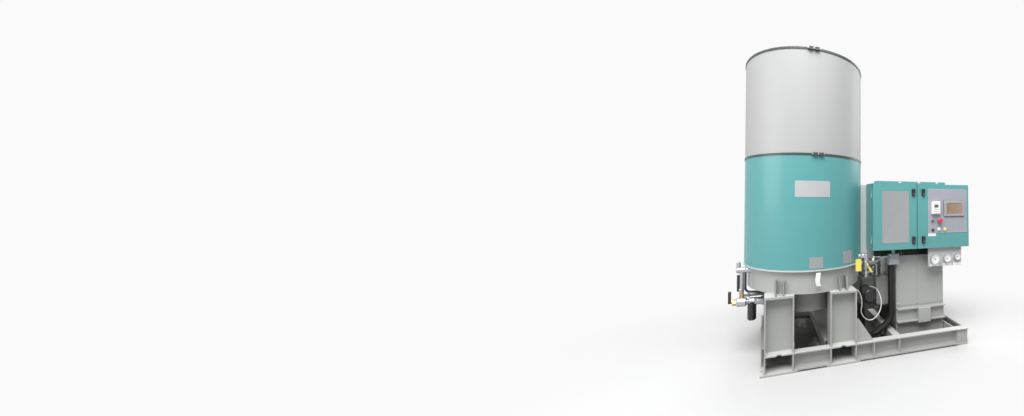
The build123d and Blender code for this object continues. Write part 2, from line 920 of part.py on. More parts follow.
with BuildPart() as touch_screen:
    with BuildSketch(Plane.XZ.offset(panel_front + panel_thickness)):
        with Locations(bezel_centre):
            Rectangle(screen_width, screen_height)
    extrude(amount=screen_depth)
touch_screen.part.label = "touch_screen"
export_step(touch_screen.part, "parts/touch_screen.step")

with BuildPart() as burner_controller:
    with BuildSketch(Plane.XZ.offset(panel_front)):
        with Locations((panel_left + controller_inset, panel_bottom + controller_rise)):
            Rectangle(controller_width, controller_height, align=flat_low)
    extrude(amount=controller_depth)
    chamfer(burner_controller.faces().sort_by(Axis.Y)[0].edges(), length=controller_round)
burner_controller.part.label = "burner_controller"
export_step(burner_controller.part, "parts/burner_controller.step")

with BuildPart() as stop_button:
    stop_plane = Plane(
        origin=(panel_left + stop_inset, -panel_front, panel_bottom + stop_rise),
        x_dir=(1, 0, 0),
        z_dir=(0, 0, 1),
    )
    with BuildSketch(stop_plane) as stop_profile:
        with BuildLine():
            Polyline(
                (0, 0),
                (stop_stem_radius, 0),
                (stop_stem_radius, -stop_stem),
                (stop_radius, -stop_stem),
                (stop_radius, -stop_stem - stop_head + stop_edge),
                (stop_radius - stop_edge, -stop_stem - stop_head),
                (0, -stop_stem - stop_head),
                close=True,
            )
        make_face()
    revolve(axis=Axis(stop_plane.origin, (0, 1, 0)))
stop_button.part.label = "stop_button"
export_step(stop_button.part, "parts/stop_button.step")

with BuildPart() as control_buttons:
    button_places = (
        (panel_left + green_inset, panel_bottom + green_rise),
        (panel_left + black_inset, panel_bottom + black_rise),
        (panel_left + white_inset, panel_bottom + white_rise),
        (panel_left + yellow_inset, panel_bottom + yellow_rise),
    )
    with BuildSketch(Plane.XZ.offset(panel_front)):
        with Locations(button_places):
            Circle(button_radius)
    extrude(amount=button_ring)
    with BuildSketch(Plane.XZ.offset(panel_front)):
        with Locations(button_places):
            Circle(button_radius - button_ring)
    extrude(amount=button_depth)
control_buttons.part.label = "control_buttons"
export_step(control_buttons.part, "parts/control_buttons.step")

# Gauge plate and turned gauge cases below the cabinet
gauge_plate_left = cabinet_right - gauge_plate_margin - gauge_plate_width
with BuildPart() as gauge_plate:
    with BuildSketch(Plane.XZ.offset(gauge_plate_reach)):
        with Locations((gauge_plate_left, cabinet_bottom)):
            Rectangle(gauge_plate_width, gauge_plate_height, align=flat_high)
    extrude(amount=-gauge_plate_thickness)
gauge_plate.part.label = "gauge_plate"
export_step(gauge_plate.part, "parts/gauge_plate.step")

with BuildPart() as pressure_gauges:
    for inset, drop, radius in (
        (first_gauge_inset, first_gauge_drop, first_gauge_radius),
        (second_gauge_inset, second_gauge_drop, second_gauge_radius),
        (third_gauge_inset, third_gauge_drop, third_gauge_radius),
    ):
        gauge_plane = Plane(
            origin=(gauge_plate_left + inset, -gauge_plate_reach, cabinet_bottom - drop),
            x_dir=(1, 0, 0),
            z_dir=(0, 0, 1),
        )
        with BuildSketch(gauge_plane):
            with BuildLine():
                Polyline(
                    (0, 0),
                    (radius, 0),
                    (radius, -gauge_depth),
                    (radius - gauge_rim, -gauge_depth),
                    (radius - gauge_rim, -gauge_depth + gauge_recess),
                    (0, -gauge_depth + gauge_recess),
                    close=True,
                )
            make_face()
        revolve(axis=Axis(gauge_plane.origin, (0, 1, 0)))
pressure_gauges.part.label = "pressure_gauges"
export_step(pressure_gauges.part, "parts/pressure_gauges.step")

# Junction box, its stub to the cabinet and the conduits
junction_left = pedestal_left - junction_outset
junction_bottom = cabinet_bottom - junction_drop - junction_height
junction_top = junction_bottom + junction_height
junction_centre_y = -pedestal_reach - junction_depth * half
with BuildPart() as junction_box:
    with Locations((junction_left, -pedestal_reach - junction_depth, junction_bottom)):
        Box(junction_width, junction_depth, junction_height, align=low_corner)
    with BuildSketch(Plane.XY.offset(junction_top)):
        with Locations((junction_left + junction_width * half, junction_centre_y)):
            Circle(junction_stub_radius)
    extrude(amount=junction_drop)
junction_box.part.label = "junction_box"
export_step(junction_box.part, "parts/junction_box.step")

stand_left = pedestal_left - stand_outset
stand_top = pan_top + stand_height
outlet_x = (casing_radius**2 - outlet_setback**2) ** half + outlet_reach
outlet_level = casing_bottom + outlet_rise
valve_level = outlet_level - valve_drop
valve_top = valve_level + valve_height * half
valve_bottom = valve_level - valve_height * half
fitting_level = valve_level + sensor_fitting_rise
fitting_end = outlet_x + sensor_fitting_length
with BuildPart() as conduits:
    conduit_x = junction_left + conduit_radius
    conduit_foot_x = stand_left + conduit_foot_inset
    with BuildLine() as conduit_route:
        FilletPolyline(
            (conduit_x, junction_centre_y, junction_bottom),
            (conduit_x, junction_centre_y, conduit_low),
            (conduit_foot_x, junction_centre_y, conduit_foot_level),
            radius=conduit_bend,
        )
    with BuildSketch(Plane(origin=conduit_route.line @ 0, z_dir=conduit_route.line % 0)):
        Circle(conduit_radius)
    sweep(path=conduit_route.line)
    with Locations((conduit_foot_x, junction_centre_y, pan_top)):
        Box(gland_size, gland_size, gland_size, align=standing)
    sensor_level = junction_top - sensor_drop
    sensor_points = [
        Vector(junction_left, junction_centre_y, sensor_level),
        Vector(junction_left - sensor_run, junction_centre_y, sensor_level),
        Vector(fitting_end + 2 * sensor_run, -outlet_setback - sensor_run * half, fitting_level + sensor_radius),
        Vector(fitting_end + sensor_run, -outlet_setback, fitting_level),
        Vector(fitting_end, -outlet_setback, fitting_level),
    ]
    sensor_radii = []
    for before, corner, after in zip(sensor_points, sensor_points[1:], sensor_points[2:]):
        shorter = min((corner - before).length, (after - corner).length)
        turn = (corner - before).get_angle(after - corner)
        sensor_radii.append(0.45 * shorter / tan(radians(turn * half)))
    with BuildLine() as sensor_route:
        FilletPolyline(*sensor_points, radius=sensor_radii)
    with BuildSketch(Plane(origin=sensor_route.line @ 0, z_dir=sensor_route.line % 0)):
        Circle(sensor_radius)
    sweep(path=sensor_route.line)
conduits.part.label = "conduits"
export_step(conduits.part, "parts/conduits.step")

# Feed pump, motor and stand
with BuildPart() as pump_stand:
    with BuildSketch(Plane.XZ.offset(stand_reach - stand_depth)):
        with Locations((stand_left, pan_top)):
            Rectangle(stand_width, stand_height, align=flat_low)
        with Locations((stand_left + stand_plate, pan_top)):
            Rectangle(
                stand_width - 2 * stand_plate,
                stand_height - stand_plate,
                align=flat_low,
                mode=Mode.SUBTRACT,
            )
    extrude(amount=stand_depth)
pump_stand.part.label = "pump_stand"
export_step(pump_stand.part, "parts/pump_stand.step")

pump_left = stand_left + pump_inset
pump_top = skirt_bottom - pump_drop
motor_x = stand_left + motor_inset
motor_level = stand_top + motor_rise
motor_reach = pump_reach + motor_length
with BuildPart() as feed_pump:
    pump_centre = (pump_left + pump_width * half, -pump_reach + pump_depth * half)
    with BuildSketch(Plane.XY.offset(stand_top)):
        with Locations(pump_centre):
            RectangleRounded(pump_width - 2 * pump_flange, pump_depth - 2 * pump_flange, pump_corner)
    extrude(amount=pump_top - stand_top)
    for level in (stand_top, pump_top - pump_flange_thickness):
        with BuildSketch(Plane.XY.offset(level)):
            with Locations(pump_centre):
                RectangleRounded(pump_width, pump_depth, pump_corner)
        extrude(amount=pump_flange_thickness)
    with BuildSketch(Plane.XZ.offset(pump_reach)):
        with Locations((motor_x, motor_level)):
            Circle(pump_boss_radius)
    extrude(amount=-pump_depth * half)
    with Locations((pump_left + pump_width - crank_width * half, -pump_reach * half, stand_top)):
        Box(crank_width, 2 * crank_reach + pump_reach, pump_top - stand_top, align=standing)
    with Locations((pump_left, pump_centre[1], pump_top - side_drop - side_height)):
        Box(2 * side_width, side_depth, side_height, align=standing)
    head_row = (pump_left + pump_width * half, pump_depth - pump_reach - head_setback)
    with BuildSketch(Plane.XY.offset(pump_top)):
        with Locations(head_row):
            with GridLocations(head_pitch, head_pitch, 3, 1):
                Circle(head_radius)
    extrude(amount=head_height)
    with BuildSketch(Plane.XY.offset(pump_top + head_flange_rise)):
        with Locations(head_row):
            with GridLocations(head_pitch, head_pitch, 3, 1):
                Circle(head_flange_radius)
    extrude(amount=head_flange_thickness)
    with BuildSketch(Plane.XY.offset(pump_top + head_height)):
        with Locations(head_row):
            with GridLocations(head_pitch, head_pitch, 3, 1):
                RegularPolygon(head_cap_across * half, 6, major_radius=False)
    extrude(amount=head_cap_height)
feed_pump.part.label = "feed_pump"
export_step(feed_pump.part, "parts/feed_pump.step")

with BuildPart() as pump_motor:
    motor_plane = Plane(origin=(motor_x, 0, motor_level), x_dir=(1, 0, 0), z_dir=(0, 0, 1))
    with BuildSketch(motor_plane):
        with BuildLine():
            Polyline(
                (0, -motor_reach),
                (motor_radius - motor_edge, -motor_reach),
                (motor_radius, -motor_reach + motor_edge),
                (motor_radius, -motor_reach + motor_cowl),
                (motor_body_radius, -motor_reach + motor_cowl),
                (motor_body_radius, -pump_reach - motor_flange_thickness),
                (motor_radius, -pump_reach - motor_flange_thickness),
                (motor_radius, -pump_reach),
                (0, -pump_reach),
                close=True,
            )
        make_face()
    revolve(axis=Axis(motor_plane.origin, (0, 1, 0)))
    with BuildSketch(Plane(origin=(motor_x, -pump_reach, motor_level), z_dir=(0, -1, 0))):
        with PolarLocations(motor_body_radius, 18):
            Rectangle(2 * (motor_radius - motor_body_radius), motor_fin)
    extrude(amount=motor_length - motor_cowl)
    with Locations((motor_x, -motor_reach + motor_length * half, stand_top)):
        Box(motor_foot_width, motor_foot_depth, motor_rise, align=standing)
    terminal_left = motor_x - terminal_width + terminal_outset
    terminal_bottom = motor_level + motor_body_radius * half
    terminal_top = motor_level + motor_radius + terminal_height
    with Locations((terminal_left, -motor_reach + terminal_setback, terminal_bottom)):
        Box(terminal_width, terminal_depth, terminal_top - terminal_bottom, align=low_corner)
pump_motor.part.label = "pump_motor"
export_step(pump_motor.part, "parts/pump_motor.step")

# Outlet, feed and drain pipes with mitred elbows
with BuildPart() as water_pipes:
    with BuildLine() as feed_route:
        feed_level = skirt_bottom + feed_pipe_rise
        Polyline(
            (pump_left + feed_pipe_inset, -feed_pipe_setback, pump_top),
            (pump_left + feed_pipe_inset, -feed_pipe_setback, feed_level),
            (skirt_radius * half, -feed_pipe_setback, feed_level),
        )
    with BuildSketch(Plane(origin=feed_route.line @ 0, z_dir=feed_route.line % 0)):
        Circle(feed_pipe_radius)
    sweep(path=feed_route.line, transition=Transition.RIGHT)
    with BuildLine() as outlet_route:
        Polyline(
            (casing_radius * half, -outlet_setback, outlet_level),
            (outlet_x, -outlet_setback, outlet_level),
            (outlet_x, -outlet_setback, valve_top),
        )
    with BuildSketch(Plane(origin=outlet_route.line @ 0, z_dir=outlet_route.line % 0)):
        Circle(outlet_radius)
    sweep(path=outlet_route.line, transition=Transition.RIGHT)
    with BuildLine() as drain_route:
        drain_level = skirt_bottom + drain_rise
        Polyline(
            (outlet_x, -outlet_setback, valve_bottom),
            (outlet_x, -outlet_setback, drain_level),
            (pump_left + drain_inset, -drain_setback, drain_level),
            (pump_left + drain_inset, -drain_setback, pump_top),
        )
    with BuildSketch(Plane(origin=drain_route.line @ 0, z_dir=drain_route.line % 0)):
        Circle(drain_radius)
    sweep(path=drain_route.line, transition=Transition.RIGHT)
    with Locations((0, 0, skirt_bottom)):
        Cylinder(skirt_radius, skirt_height, align=standing, mode=Mode.SUBTRACT)
    with Locations((0, 0, casing_bottom)):
        Cylinder(casing_radius, lower_casing_height, align=standing, mode=Mode.SUBTRACT)
water_pipes.part.label = "water_pipes"
export_step(water_pipes.part, "parts/water_pipes.step")

# Outlet valve and its lever
with BuildPart() as outlet_valve:
    valve_plane = Plane(origin=(outlet_x, -outlet_setback, valve_level), x_dir=(1, 0, 0), z_dir=(0, -1, 0))
    with BuildSketch(valve_plane):
        with BuildLine():
            Polyline(
                (0, -valve_height * half),
                (valve_radius - valve_neck, -valve_height * half),
                (valve_radius, -valve_height * half + 2 * valve_neck),
                (valve_radius, valve_height * half - 2 * valve_neck),
                (valve_radius - valve_neck, valve_height * half),
                (0, valve_height * half),
                close=True,
            )
        make_face()
    revolve(axis=Axis(valve_plane.origin, (0, 0, 1)))
    with BuildSketch(valve_plane):
        Circle(spindle_radius)
    extrude(amount=spindle_length)
outlet_valve.part.label = "outlet_valve"
export_step(outlet_valve.part, "parts/outlet_valve.step")

with BuildPart() as valve_lever:
    lever_plane = Plane(
        origin=(outlet_x, -outlet_setback - valve_radius - lever_gap, valve_level),
        x_dir=Vector(1, 0, 0).rotate(Axis.Y, -lever_angle),
        z_dir=(0, -1, 0),
    )
    with BuildSketch(lever_plane):
        Circle(lever_hub_radius)
        Circle(spindle_radius + spindle_running, mode=Mode.SUBTRACT)
    extrude(amount=lever_hub_length)
    with BuildSketch(lever_plane):
        with Locations((lever_length * half, 0)):
            SlotOverall(lever_length, lever_width)
        Circle(spindle_radius + spindle_running, mode=Mode.SUBTRACT)
    extrude(amount=lever_thickness)
valve_lever.part.label = "valve_lever"
export_step(valve_lever.part, "parts/valve_lever.step")

# Fuel train on the left, turned along its axis
fuel_level = skirt_bottom - fuel_drop
plenum_face = (plenum_radius**2 - fuel_setback**2) ** half
flange_start = plenum_face + fuel_flange_gap
coupling_start = flange_start + fuel_flange_length
valve_start = coupling_start + fuel_coupling_length
neck_start = valve_start + fuel_valve_length
body_start = neck_start + fuel_neck_length
body_end = body_start + fuel_body_length
riser_x = -(body_start + body_end) * half
actuator_x = -(valve_start + neck_start) * half
fuel_plane = Plane(origin=(0, -fuel_setback, fuel_level), x_dir=(-1, 0, 0), z_dir=(0, 1, 0))
with BuildPart() as fuel_line:
    with BuildSketch(fuel_plane):
        with BuildLine():
            Polyline(
                (plenum_radius * half, 0),
                (plenum_radius * half, fuel_radius),
                (flange_start, fuel_radius),
                (flange_start, fuel_flange_radius),
                (coupling_start, fuel_flange_radius),
                (coupling_start, fuel_coupling_radius),
                (valve_start, fuel_coupling_radius),
                (valve_start, fuel_valve_radius - fuel_edge),
                (valve_start + fuel_edge, fuel_valve_radius),
                (neck_start - fuel_edge, fuel_valve_radius),
                (neck_start, fuel_valve_radius - fuel_edge),
                (neck_start, fuel_radius),
                (body_start, fuel_radius),
                (body_start, fuel_body_radius - fuel_edge),
                (body_start + fuel_edge, fuel_body_radius),
                (body_end - fuel_edge, fuel_body_radius),
                (body_end, fuel_body_radius - fuel_edge),
                (body_end, 0),
                close=True,
            )
        make_face()
    revolve(axis=Axis(fuel_plane.origin, (1, 0, 0)))
    with Locations((0, 0, plenum_bottom)):
        Cylinder(plenum_radius, plenum_height, align=standing, mode=Mode.SUBTRACT)
fuel_line.part.label = "fuel_line"
export_step(fuel_line.part, "parts/fuel_line.step")

with BuildPart() as fuel_riser:
    riser_bottom = fuel_level + riser_start
    tee_level = rim_bottom - tee_gap - tee_radius
    tee_end = riser_x - tee_reach
    with BuildSketch(Plane.XY.offset(riser_bottom)):
        with Locations((riser_x, -fuel_setback)):
            Circle(riser_radius)
    extrude(amount=tee_level - riser_bottom)
    with BuildSketch(Plane.YZ.offset(tee_end)):
        with Locations((-fuel_setback, tee_level)):
            Circle(tee_radius)
    extrude(amount=-tee_end * half)
    chamfer(fuel_riser.edges().sort_by(Axis.X)[0], length=tee_edge)
    with BuildSketch(Plane.XY.offset(tee_level)):
        with Locations((riser_x - bonnet_offset, -fuel_setback)):
            RegularPolygon(bonnet_across * half, 6, major_radius=False)
    extrude(amount=tee_radius + bonnet_height)
    with Locations((0, 0, skirt_bottom)):
        Cylinder(skirt_radius, skirt_height, align=standing, mode=Mode.SUBTRACT)
fuel_riser.part.label = "fuel_riser"
export_step(fuel_riser.part, "parts/fuel_riser.step")

# Brass hexagon unions of the fuel train and the brass fitting of the sensor
with BuildPart() as brass_unions:
    with BuildSketch(Plane.YZ.offset(-body_end)):
        with Locations((-fuel_setback, fuel_level)):
            RegularPolygon(union_across * half, 6, major_radius=False)
    extrude(amount=-union_length)
    with BuildSketch(Plane.XY.offset(fuel_level)):
        with Locations((riser_x, -fuel_setback)):
            RegularPolygon(riser_union_across * half, 6, major_radius=False)
    extrude(amount=riser_start)
    add(fuel_line.part, mode=Mode.SUBTRACT)
    with BuildSketch(Plane.YZ.offset(outlet_x)):
        with Locations((-outlet_setback, fitting_level)):
            RegularPolygon(sensor_fitting_radius, 6, major_radius=False)
    extrude(amount=sensor_fitting_length)
    add(outlet_valve.part, mode=Mode.SUBTRACT)
    add(water_pipes.part, mode=Mode.SUBTRACT)
brass_unions.part.label = "brass_unions"
export_step(brass_unions.part, "parts/brass_unions.step")

# Black fuel actuator and the handle of the fuel cock
with BuildPart() as fuel_controls:
    actuator_bottom = fuel_level - fuel_valve_radius - actuator_height
    actuator_plane = Plane(origin=(actuator_x, -fuel_setback, 0), x_dir=(1, 0, 0), z_dir=(0, -1, 0))
    with BuildSketch(actuator_plane):
        with BuildLine():
            Polyline(
                (0, actuator_bottom),
                (actuator_radius - actuator_edge, actuator_bottom),
                (actuator_radius - actuator_edge * half * half, actuator_bottom + actuator_edge * half),
                (actuator_radius, actuator_bottom + actuator_edge),
                (actuator_radius, fuel_level),
                (0, fuel_level),
                close=True,
            )
        make_face()
    revolve(axis=Axis(actuator_plane.origin, (0, 0, 1)))
    with BuildSketch(Plane.XY.offset(riser_bottom)):
        with Locations((riser_x - riser_radius, -fuel_setback)):
            RectangleRounded(2 * sight_width, sight_depth, sight_depth * half * half)
    extrude(amount=sight_height)
    hose_x = riser_x + hose_offset
    hose_level = skirt_bottom - hose_drop
    with BuildLine() as hose_route:
        FilletPolyline(
            (hose_x, -fuel_setback, tee_level),
            (hose_x, -fuel_setback, hose_level),
            (-plenum_radius * half, -fuel_setback, hose_level - hose_fall),
            radius=hose_bend,
        )
    with BuildSketch(Plane(origin=hose_route.line @ 0, z_dir=hose_route.line % 0)):
        Circle(hose_radius)
    sweep(path=hose_route.line)
    add(fuel_riser.part, mode=Mode.SUBTRACT)
    add(fuel_line.part, mode=Mode.SUBTRACT)
    with Locations((0, 0, plenum_bottom)):
        Cylinder(plenum_radius, plenum_height, align=standing, mode=Mode.SUBTRACT)
    with BuildSketch(Plane.YZ.offset(-body_end - union_length)):
        with Locations((-fuel_setback, fuel_level)):
            Circle(handle_stem_radius)
    extrude(amount=-handle_stem - handle_thickness)
    with BuildSketch(Plane.YZ.offset(-body_end - union_length - handle_stem)):
        with Locations((-fuel_setback, fuel_level + handle_length * half)):
            SlotOverall(handle_length + 2 * handle_stem, handle_width, rotation=90)
    extrude(amount=-handle_thickness)
fuel_controls.part.label = "fuel_controls"
export_step(fuel_controls.part, "parts/fuel_controls.step")

# Cable from a gland on the column to a gland on the motor's terminal box
cable_gland_level = column_top - cable_gland_drop
cable_start = Vector(column_outer + cable_gland_length, -column_centre_y + cable_gland_setback, cable_gland_level)
terminal_right = terminal_left + terminal_width
terminal_gland_y = -motor_reach + terminal_setback + terminal_depth * half
terminal_gland_level = terminal_top - terminal_height * half
with BuildPart() as cable_glands:
    with BuildSketch(Plane.YZ.offset(column_outer)):
        with Locations((cable_start.Y, cable_gland_level)):
            RegularPolygon(cable_gland_radius, 6, major_radius=False)
    extrude(amount=cable_gland_length)
    with BuildSketch(Plane.YZ.offset(terminal_right)):
        with Locations((terminal_gland_y, terminal_gland_level)):
            RegularPolygon(cable_gland_radius, 6, major_radius=False)
    extrude(amount=cable_gland_length)
cable_glands.part.label = "cable_glands"
export_step(cable_glands.part, "parts/cable_glands.step")

loop_shares = (
    (0.0985, 0.0, 0.0),
    (0.1833, 0.013, -0.0939),
    (0.2409, 0.0261, -0.2485),
    (0.2652, 0.0435, -0.4455),
    (0.2227, 0.0609, -0.6758),
    (0.3348, 0.0826, -0.8697),
    (0.5348, 0.1217, -0.9818),
    (0.7439, 0.1739, -0.9121),
    (0.9076, 0.2391, -0.7242),
    (0.9924, 0.4348, -0.4879),
    (0.9803, 0.6739, -0.3),
    (0.9409, 0.87, -0.2),
)
with BuildPart() as cable_loop:
    cable_end = Vector(terminal_right + cable_gland_length, terminal_gland_y, terminal_gland_level)
    cable_points = [cable_start]
    for along, back, up in loop_shares:
        cable_points.append(cable_start + Vector(along * loop_width, back * loop_depth, up * loop_height))
    cable_points.append(cable_end + Vector(3 * cable_gland_length, 0, 0))
    cable_points.append(cable_end)
    cable_radii = []
    for before, corner, after in zip(cable_points, cable_points[1:], cable_points[2:]):
        shorter = min((corner - before).length, (after - corner).length)
        turn = (corner - before).get_angle(after - corner)
        cable_radii.append(0.45 * shorter / tan(radians(turn * half)))
    with BuildLine() as cable_route:
        FilletPolyline(*cable_points, radius=cable_radii)
    with BuildSketch(Plane(origin=cable_route.line @ 0, z_dir=cable_route.line % 0)):
        Circle(cable_radius)
    sweep(path=cable_route.line)
print("cable radii", [round(radius) for radius in cable_radii])
cable_length = sum(edge.length for edge in cable_route.edges())
print("cable length", round(cable_length), "section", round(cable_loop.part.volume / cable_length, 2))
cable_loop.part.label = "cable_loop"
export_step(cable_loop.part, "parts/cable_loop.step")
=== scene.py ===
"""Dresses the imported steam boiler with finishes, plates, bolts, gauges, fittings, a cable and a stage."""

import json
import math

import bmesh
import bpy
from bpy.props import FloatProperty, FloatVectorProperty, PointerProperty
from mathutils import Matrix, Vector


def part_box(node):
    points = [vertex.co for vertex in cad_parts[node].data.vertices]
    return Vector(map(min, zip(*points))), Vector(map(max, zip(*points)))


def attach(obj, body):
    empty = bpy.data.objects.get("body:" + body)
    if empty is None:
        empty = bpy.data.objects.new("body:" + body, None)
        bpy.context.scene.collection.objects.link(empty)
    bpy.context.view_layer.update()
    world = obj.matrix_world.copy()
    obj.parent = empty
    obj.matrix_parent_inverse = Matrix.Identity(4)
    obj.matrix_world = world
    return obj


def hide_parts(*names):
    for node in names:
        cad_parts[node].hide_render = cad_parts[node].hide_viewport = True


bl_info = {
    "name": "Steam boiler dressing",
    "version": (1, 0, 0),
    "blender": (4, 5, 0),
    "location": "View3D > Sidebar > Boiler",
    "description": "Finishes, plates, bolts, gauges and fittings on a vertical steam boiler",
    "category": "Object",
}

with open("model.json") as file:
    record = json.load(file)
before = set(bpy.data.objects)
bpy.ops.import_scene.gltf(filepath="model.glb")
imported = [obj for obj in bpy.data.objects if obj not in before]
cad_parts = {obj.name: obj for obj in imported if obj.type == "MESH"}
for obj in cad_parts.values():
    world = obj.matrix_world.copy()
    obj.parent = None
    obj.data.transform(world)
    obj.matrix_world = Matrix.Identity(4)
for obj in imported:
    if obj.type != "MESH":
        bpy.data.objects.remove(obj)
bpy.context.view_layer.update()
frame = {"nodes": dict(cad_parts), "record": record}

toward_viewer = Vector((0, -1, 0))
behind = -toward_viewer
upward = Vector((0, 0, 1))
along_skid = Vector((1, 0, 0))


# Settings that a user would change
def length_setting(name, description, default):
    return FloatProperty(name=name, description=description, default=default, unit="LENGTH")


def colour_setting(name, description, default):
    return FloatVectorProperty(
        name=name, description=description, default=default, subtype="COLOR", size=3, min=0, max=1
    )


class BoilerSizes(bpy.types.PropertyGroup):
    """Sizes of the fitted pieces."""

    casing_radius: length_setting("Casing radius", "Outside of the round casing", 0.6)
    sheet: length_setting("Sheet", "Thickness of the casing's plates and tag", 0.0016)
    bolt_radius: length_setting("Bolt radius", "Half width of a hexagon bolt head", 0.009)
    screw_radius: length_setting("Screw radius", "Radius of a small screw head", 0.0045)
    cable_radius: length_setting("Cable radius", "Radius of the hanging cable", 0.005)
    gasket_width: length_setting("Gasket width", "Width of the door gaskets", 0.01)


class BoilerColours(bpy.types.PropertyGroup):
    """Colours of the finishes, in linear light."""

    casing_teal: colour_setting("Casing teal", "Enamel of the lower casing", (0.092, 0.314, 0.319))
    cabinet_teal: colour_setting("Cabinet teal", "Enamel of the cabinet and doors", (0.096, 0.322, 0.319))
    casing_grey: colour_setting("Casing grey", "Enamel of the upper casing", (0.392, 0.397, 0.392))
    skid_grey: colour_setting("Skid grey", "Enamel of the base", (0.388, 0.395, 0.38))
    overlay: colour_setting("Overlay", "Grey-lilac sheet of the control panel", (0.333, 0.343, 0.39))
    plate: colour_setting("Plate", "Bare plates", (0.315, 0.33, 0.332))
    sleeve: colour_setting("Sleeve", "Yellow sleeve and tag", (0.9, 0.78, 0.13))
    floor: colour_setting("Floor", "Pale floor", (0.6, 0.6, 0.595))


# Shader maths
class Value:
    """A shader socket that takes Python's operators and adds Math nodes for them."""

    def __init__(self, nodes, socket):
        self.nodes = nodes
        self.socket = socket

    def combine(self, operation, first, second):
        return self.nodes.node("ShaderNodeMath", {"operation": operation}, {0: first, 1: second})

    def __add__(self, other):
        return self.combine("ADD", self, other)

    def __radd__(self, other):
        return self.combine("ADD", other, self)

    def __sub__(self, other):
        return self.combine("SUBTRACT", self, other)

    def __rsub__(self, other):
        return self.combine("SUBTRACT", other, self)

    def __mul__(self, other):
        return self.combine("MULTIPLY", self, other)

    def __rmul__(self, other):
        return self.combine("MULTIPLY", other, self)

    def __truediv__(self, other):
        return self.combine("DIVIDE", self, other)

    def __gt__(self, other):
        return self.combine("GREATER_THAN", self, other)

    def __lt__(self, other):
        return self.combine("LESS_THAN", self, other)

    def __pow__(self, other):
        return self.combine("POWER", self, other)


class Nodes:
    """A node tree whose nodes come from one method."""

    def __init__(self, tree):
        self.tree = tree

    def node(self, kind, settings, inputs, output=0):
        made = self.tree.nodes.new(kind)
        for key, setting in settings.items():
            setattr(made, key, setting)
        for key, given in inputs.items():
            self.feed(made.inputs[key], given)
        return Value(self, made.outputs[output])

    def feed(self, socket, given):
        if isinstance(given, Value):
            self.tree.links.new(given.socket, socket)
        elif hasattr(given, "__len__") and len(given) == 3 and socket.type == "RGBA":
            socket.default_value = (*given, 1)
        else:
            socket.default_value = given

    def seen_rays(self):
        """1 for rays from the camera, off gloss and through glass."""
        names = ("Is Camera Ray", "Is Glossy Ray", "Is Transmission Ray")
        camera, glossy, transmission = (self.node("ShaderNodeLightPath", {}, {}, name) for name in names)
        return camera + glossy + transmission

    def end_in_mix(self, share, first, second, end):
        """Feeds the tree's end node with a mix of two shaders."""
        mix = self.node("ShaderNodeMixShader", {}, {0: share, 1: first, 2: second})
        self.feed(self.tree.nodes[end].inputs["Surface"], mix)


class Paint(Nodes):
    """One procedural material, with its nodes added in plain steps."""

    coat_roughness = 0.12

    def __init__(self, name, metallic=0.0, coat=0.0, specular=0.5):
        self.material = bpy.data.materials.new(name)
        self.material.use_nodes = True
        super().__init__(self.material.node_tree)
        self.shader = self.tree.nodes["Principled BSDF"]
        self.feed(self.shader.inputs["Metallic"], metallic)
        self.feed(self.shader.inputs["Coat Weight"], coat)
        self.feed(self.shader.inputs["Coat Roughness"], self.coat_roughness)
        self.feed(self.shader.inputs["Specular IOR Level"], specular)

    def spot(self):
        return self.node("ShaderNodeTexCoord", {}, {}, "Object")

    def stretched(self, scale):
        return self.node("ShaderNodeMapping", {}, {"Vector": self.spot(), "Scale": scale})

    def axis(self, letter):
        return self.node("ShaderNodeSeparateXYZ", {}, {0: self.spot()}, "XYZ".index(letter))

    def noise(self, scale, detail=3.0, vector=None):
        where = vector or self.spot()
        return self.node("ShaderNodeTexNoise", {}, {"Vector": where, "Scale": scale, "Detail": detail})

    def band(self, given, low, high):
        """0 below low, 1 above high and smooth between, or the other way round where low is above high."""
        settings = {"interpolation_type": "SMOOTHSTEP"}
        return self.node("ShaderNodeMapRange", settings, {"Value": given, "From Min": low, "From Max": high})

    def between(self, given, low, high):
        """1 between low and high, with sharp edges."""
        return (given > low) * (given < high)

    def blend(self, share, first, second):
        return self.node("ShaderNodeMix", {"data_type": "RGBA"}, {0: share, 6: first, 7: second}, 2)

    def finish(self, colour, roughness, height=None, strength=0.2, distance=0.001):
        self.feed(self.shader.inputs["Base Color"], colour)
        self.feed(self.shader.inputs["Roughness"], roughness)
        if height:
            inputs = {"Height": height, "Strength": strength, "Distance": distance}
            self.feed(self.shader.inputs["Normal"], self.node("ShaderNodeBump", {}, inputs, "Normal"))
        return self.material


def shaded(colour, share):
    return tuple(min(1.0, part * share) for part in colour)


# Finishes
def enamel(name, colour, roughness, coat=0.2, mottle=0.06, peel=0.06, soil_and_shade=None):
    """Sprayed enamel with slow drift, orange peel and scuffs, and the soil, painted light and painted shade
    that lie on it.
    """
    paint = Paint(name, coat=coat)
    drift = paint.noise(2.2, 4)
    scuff = paint.band(paint.noise(9, 6, paint.stretched((1, 1, 5))), 0.62, 0.78)
    tone = paint.blend(drift, shaded(colour, 1 - mottle), shaded(colour, 1 + mottle))
    tone = paint.blend(scuff * 0.12, tone, shaded(colour, 0.7))
    if soil_and_shade:
        tone = soil_and_shade(paint, tone, drift, colour)
    gloss = roughness + (drift - 0.5) * 0.14 + scuff * 0.12
    return paint.finish(tone, gloss, paint.noise(240, 2), strength=peel, distance=0.0006)


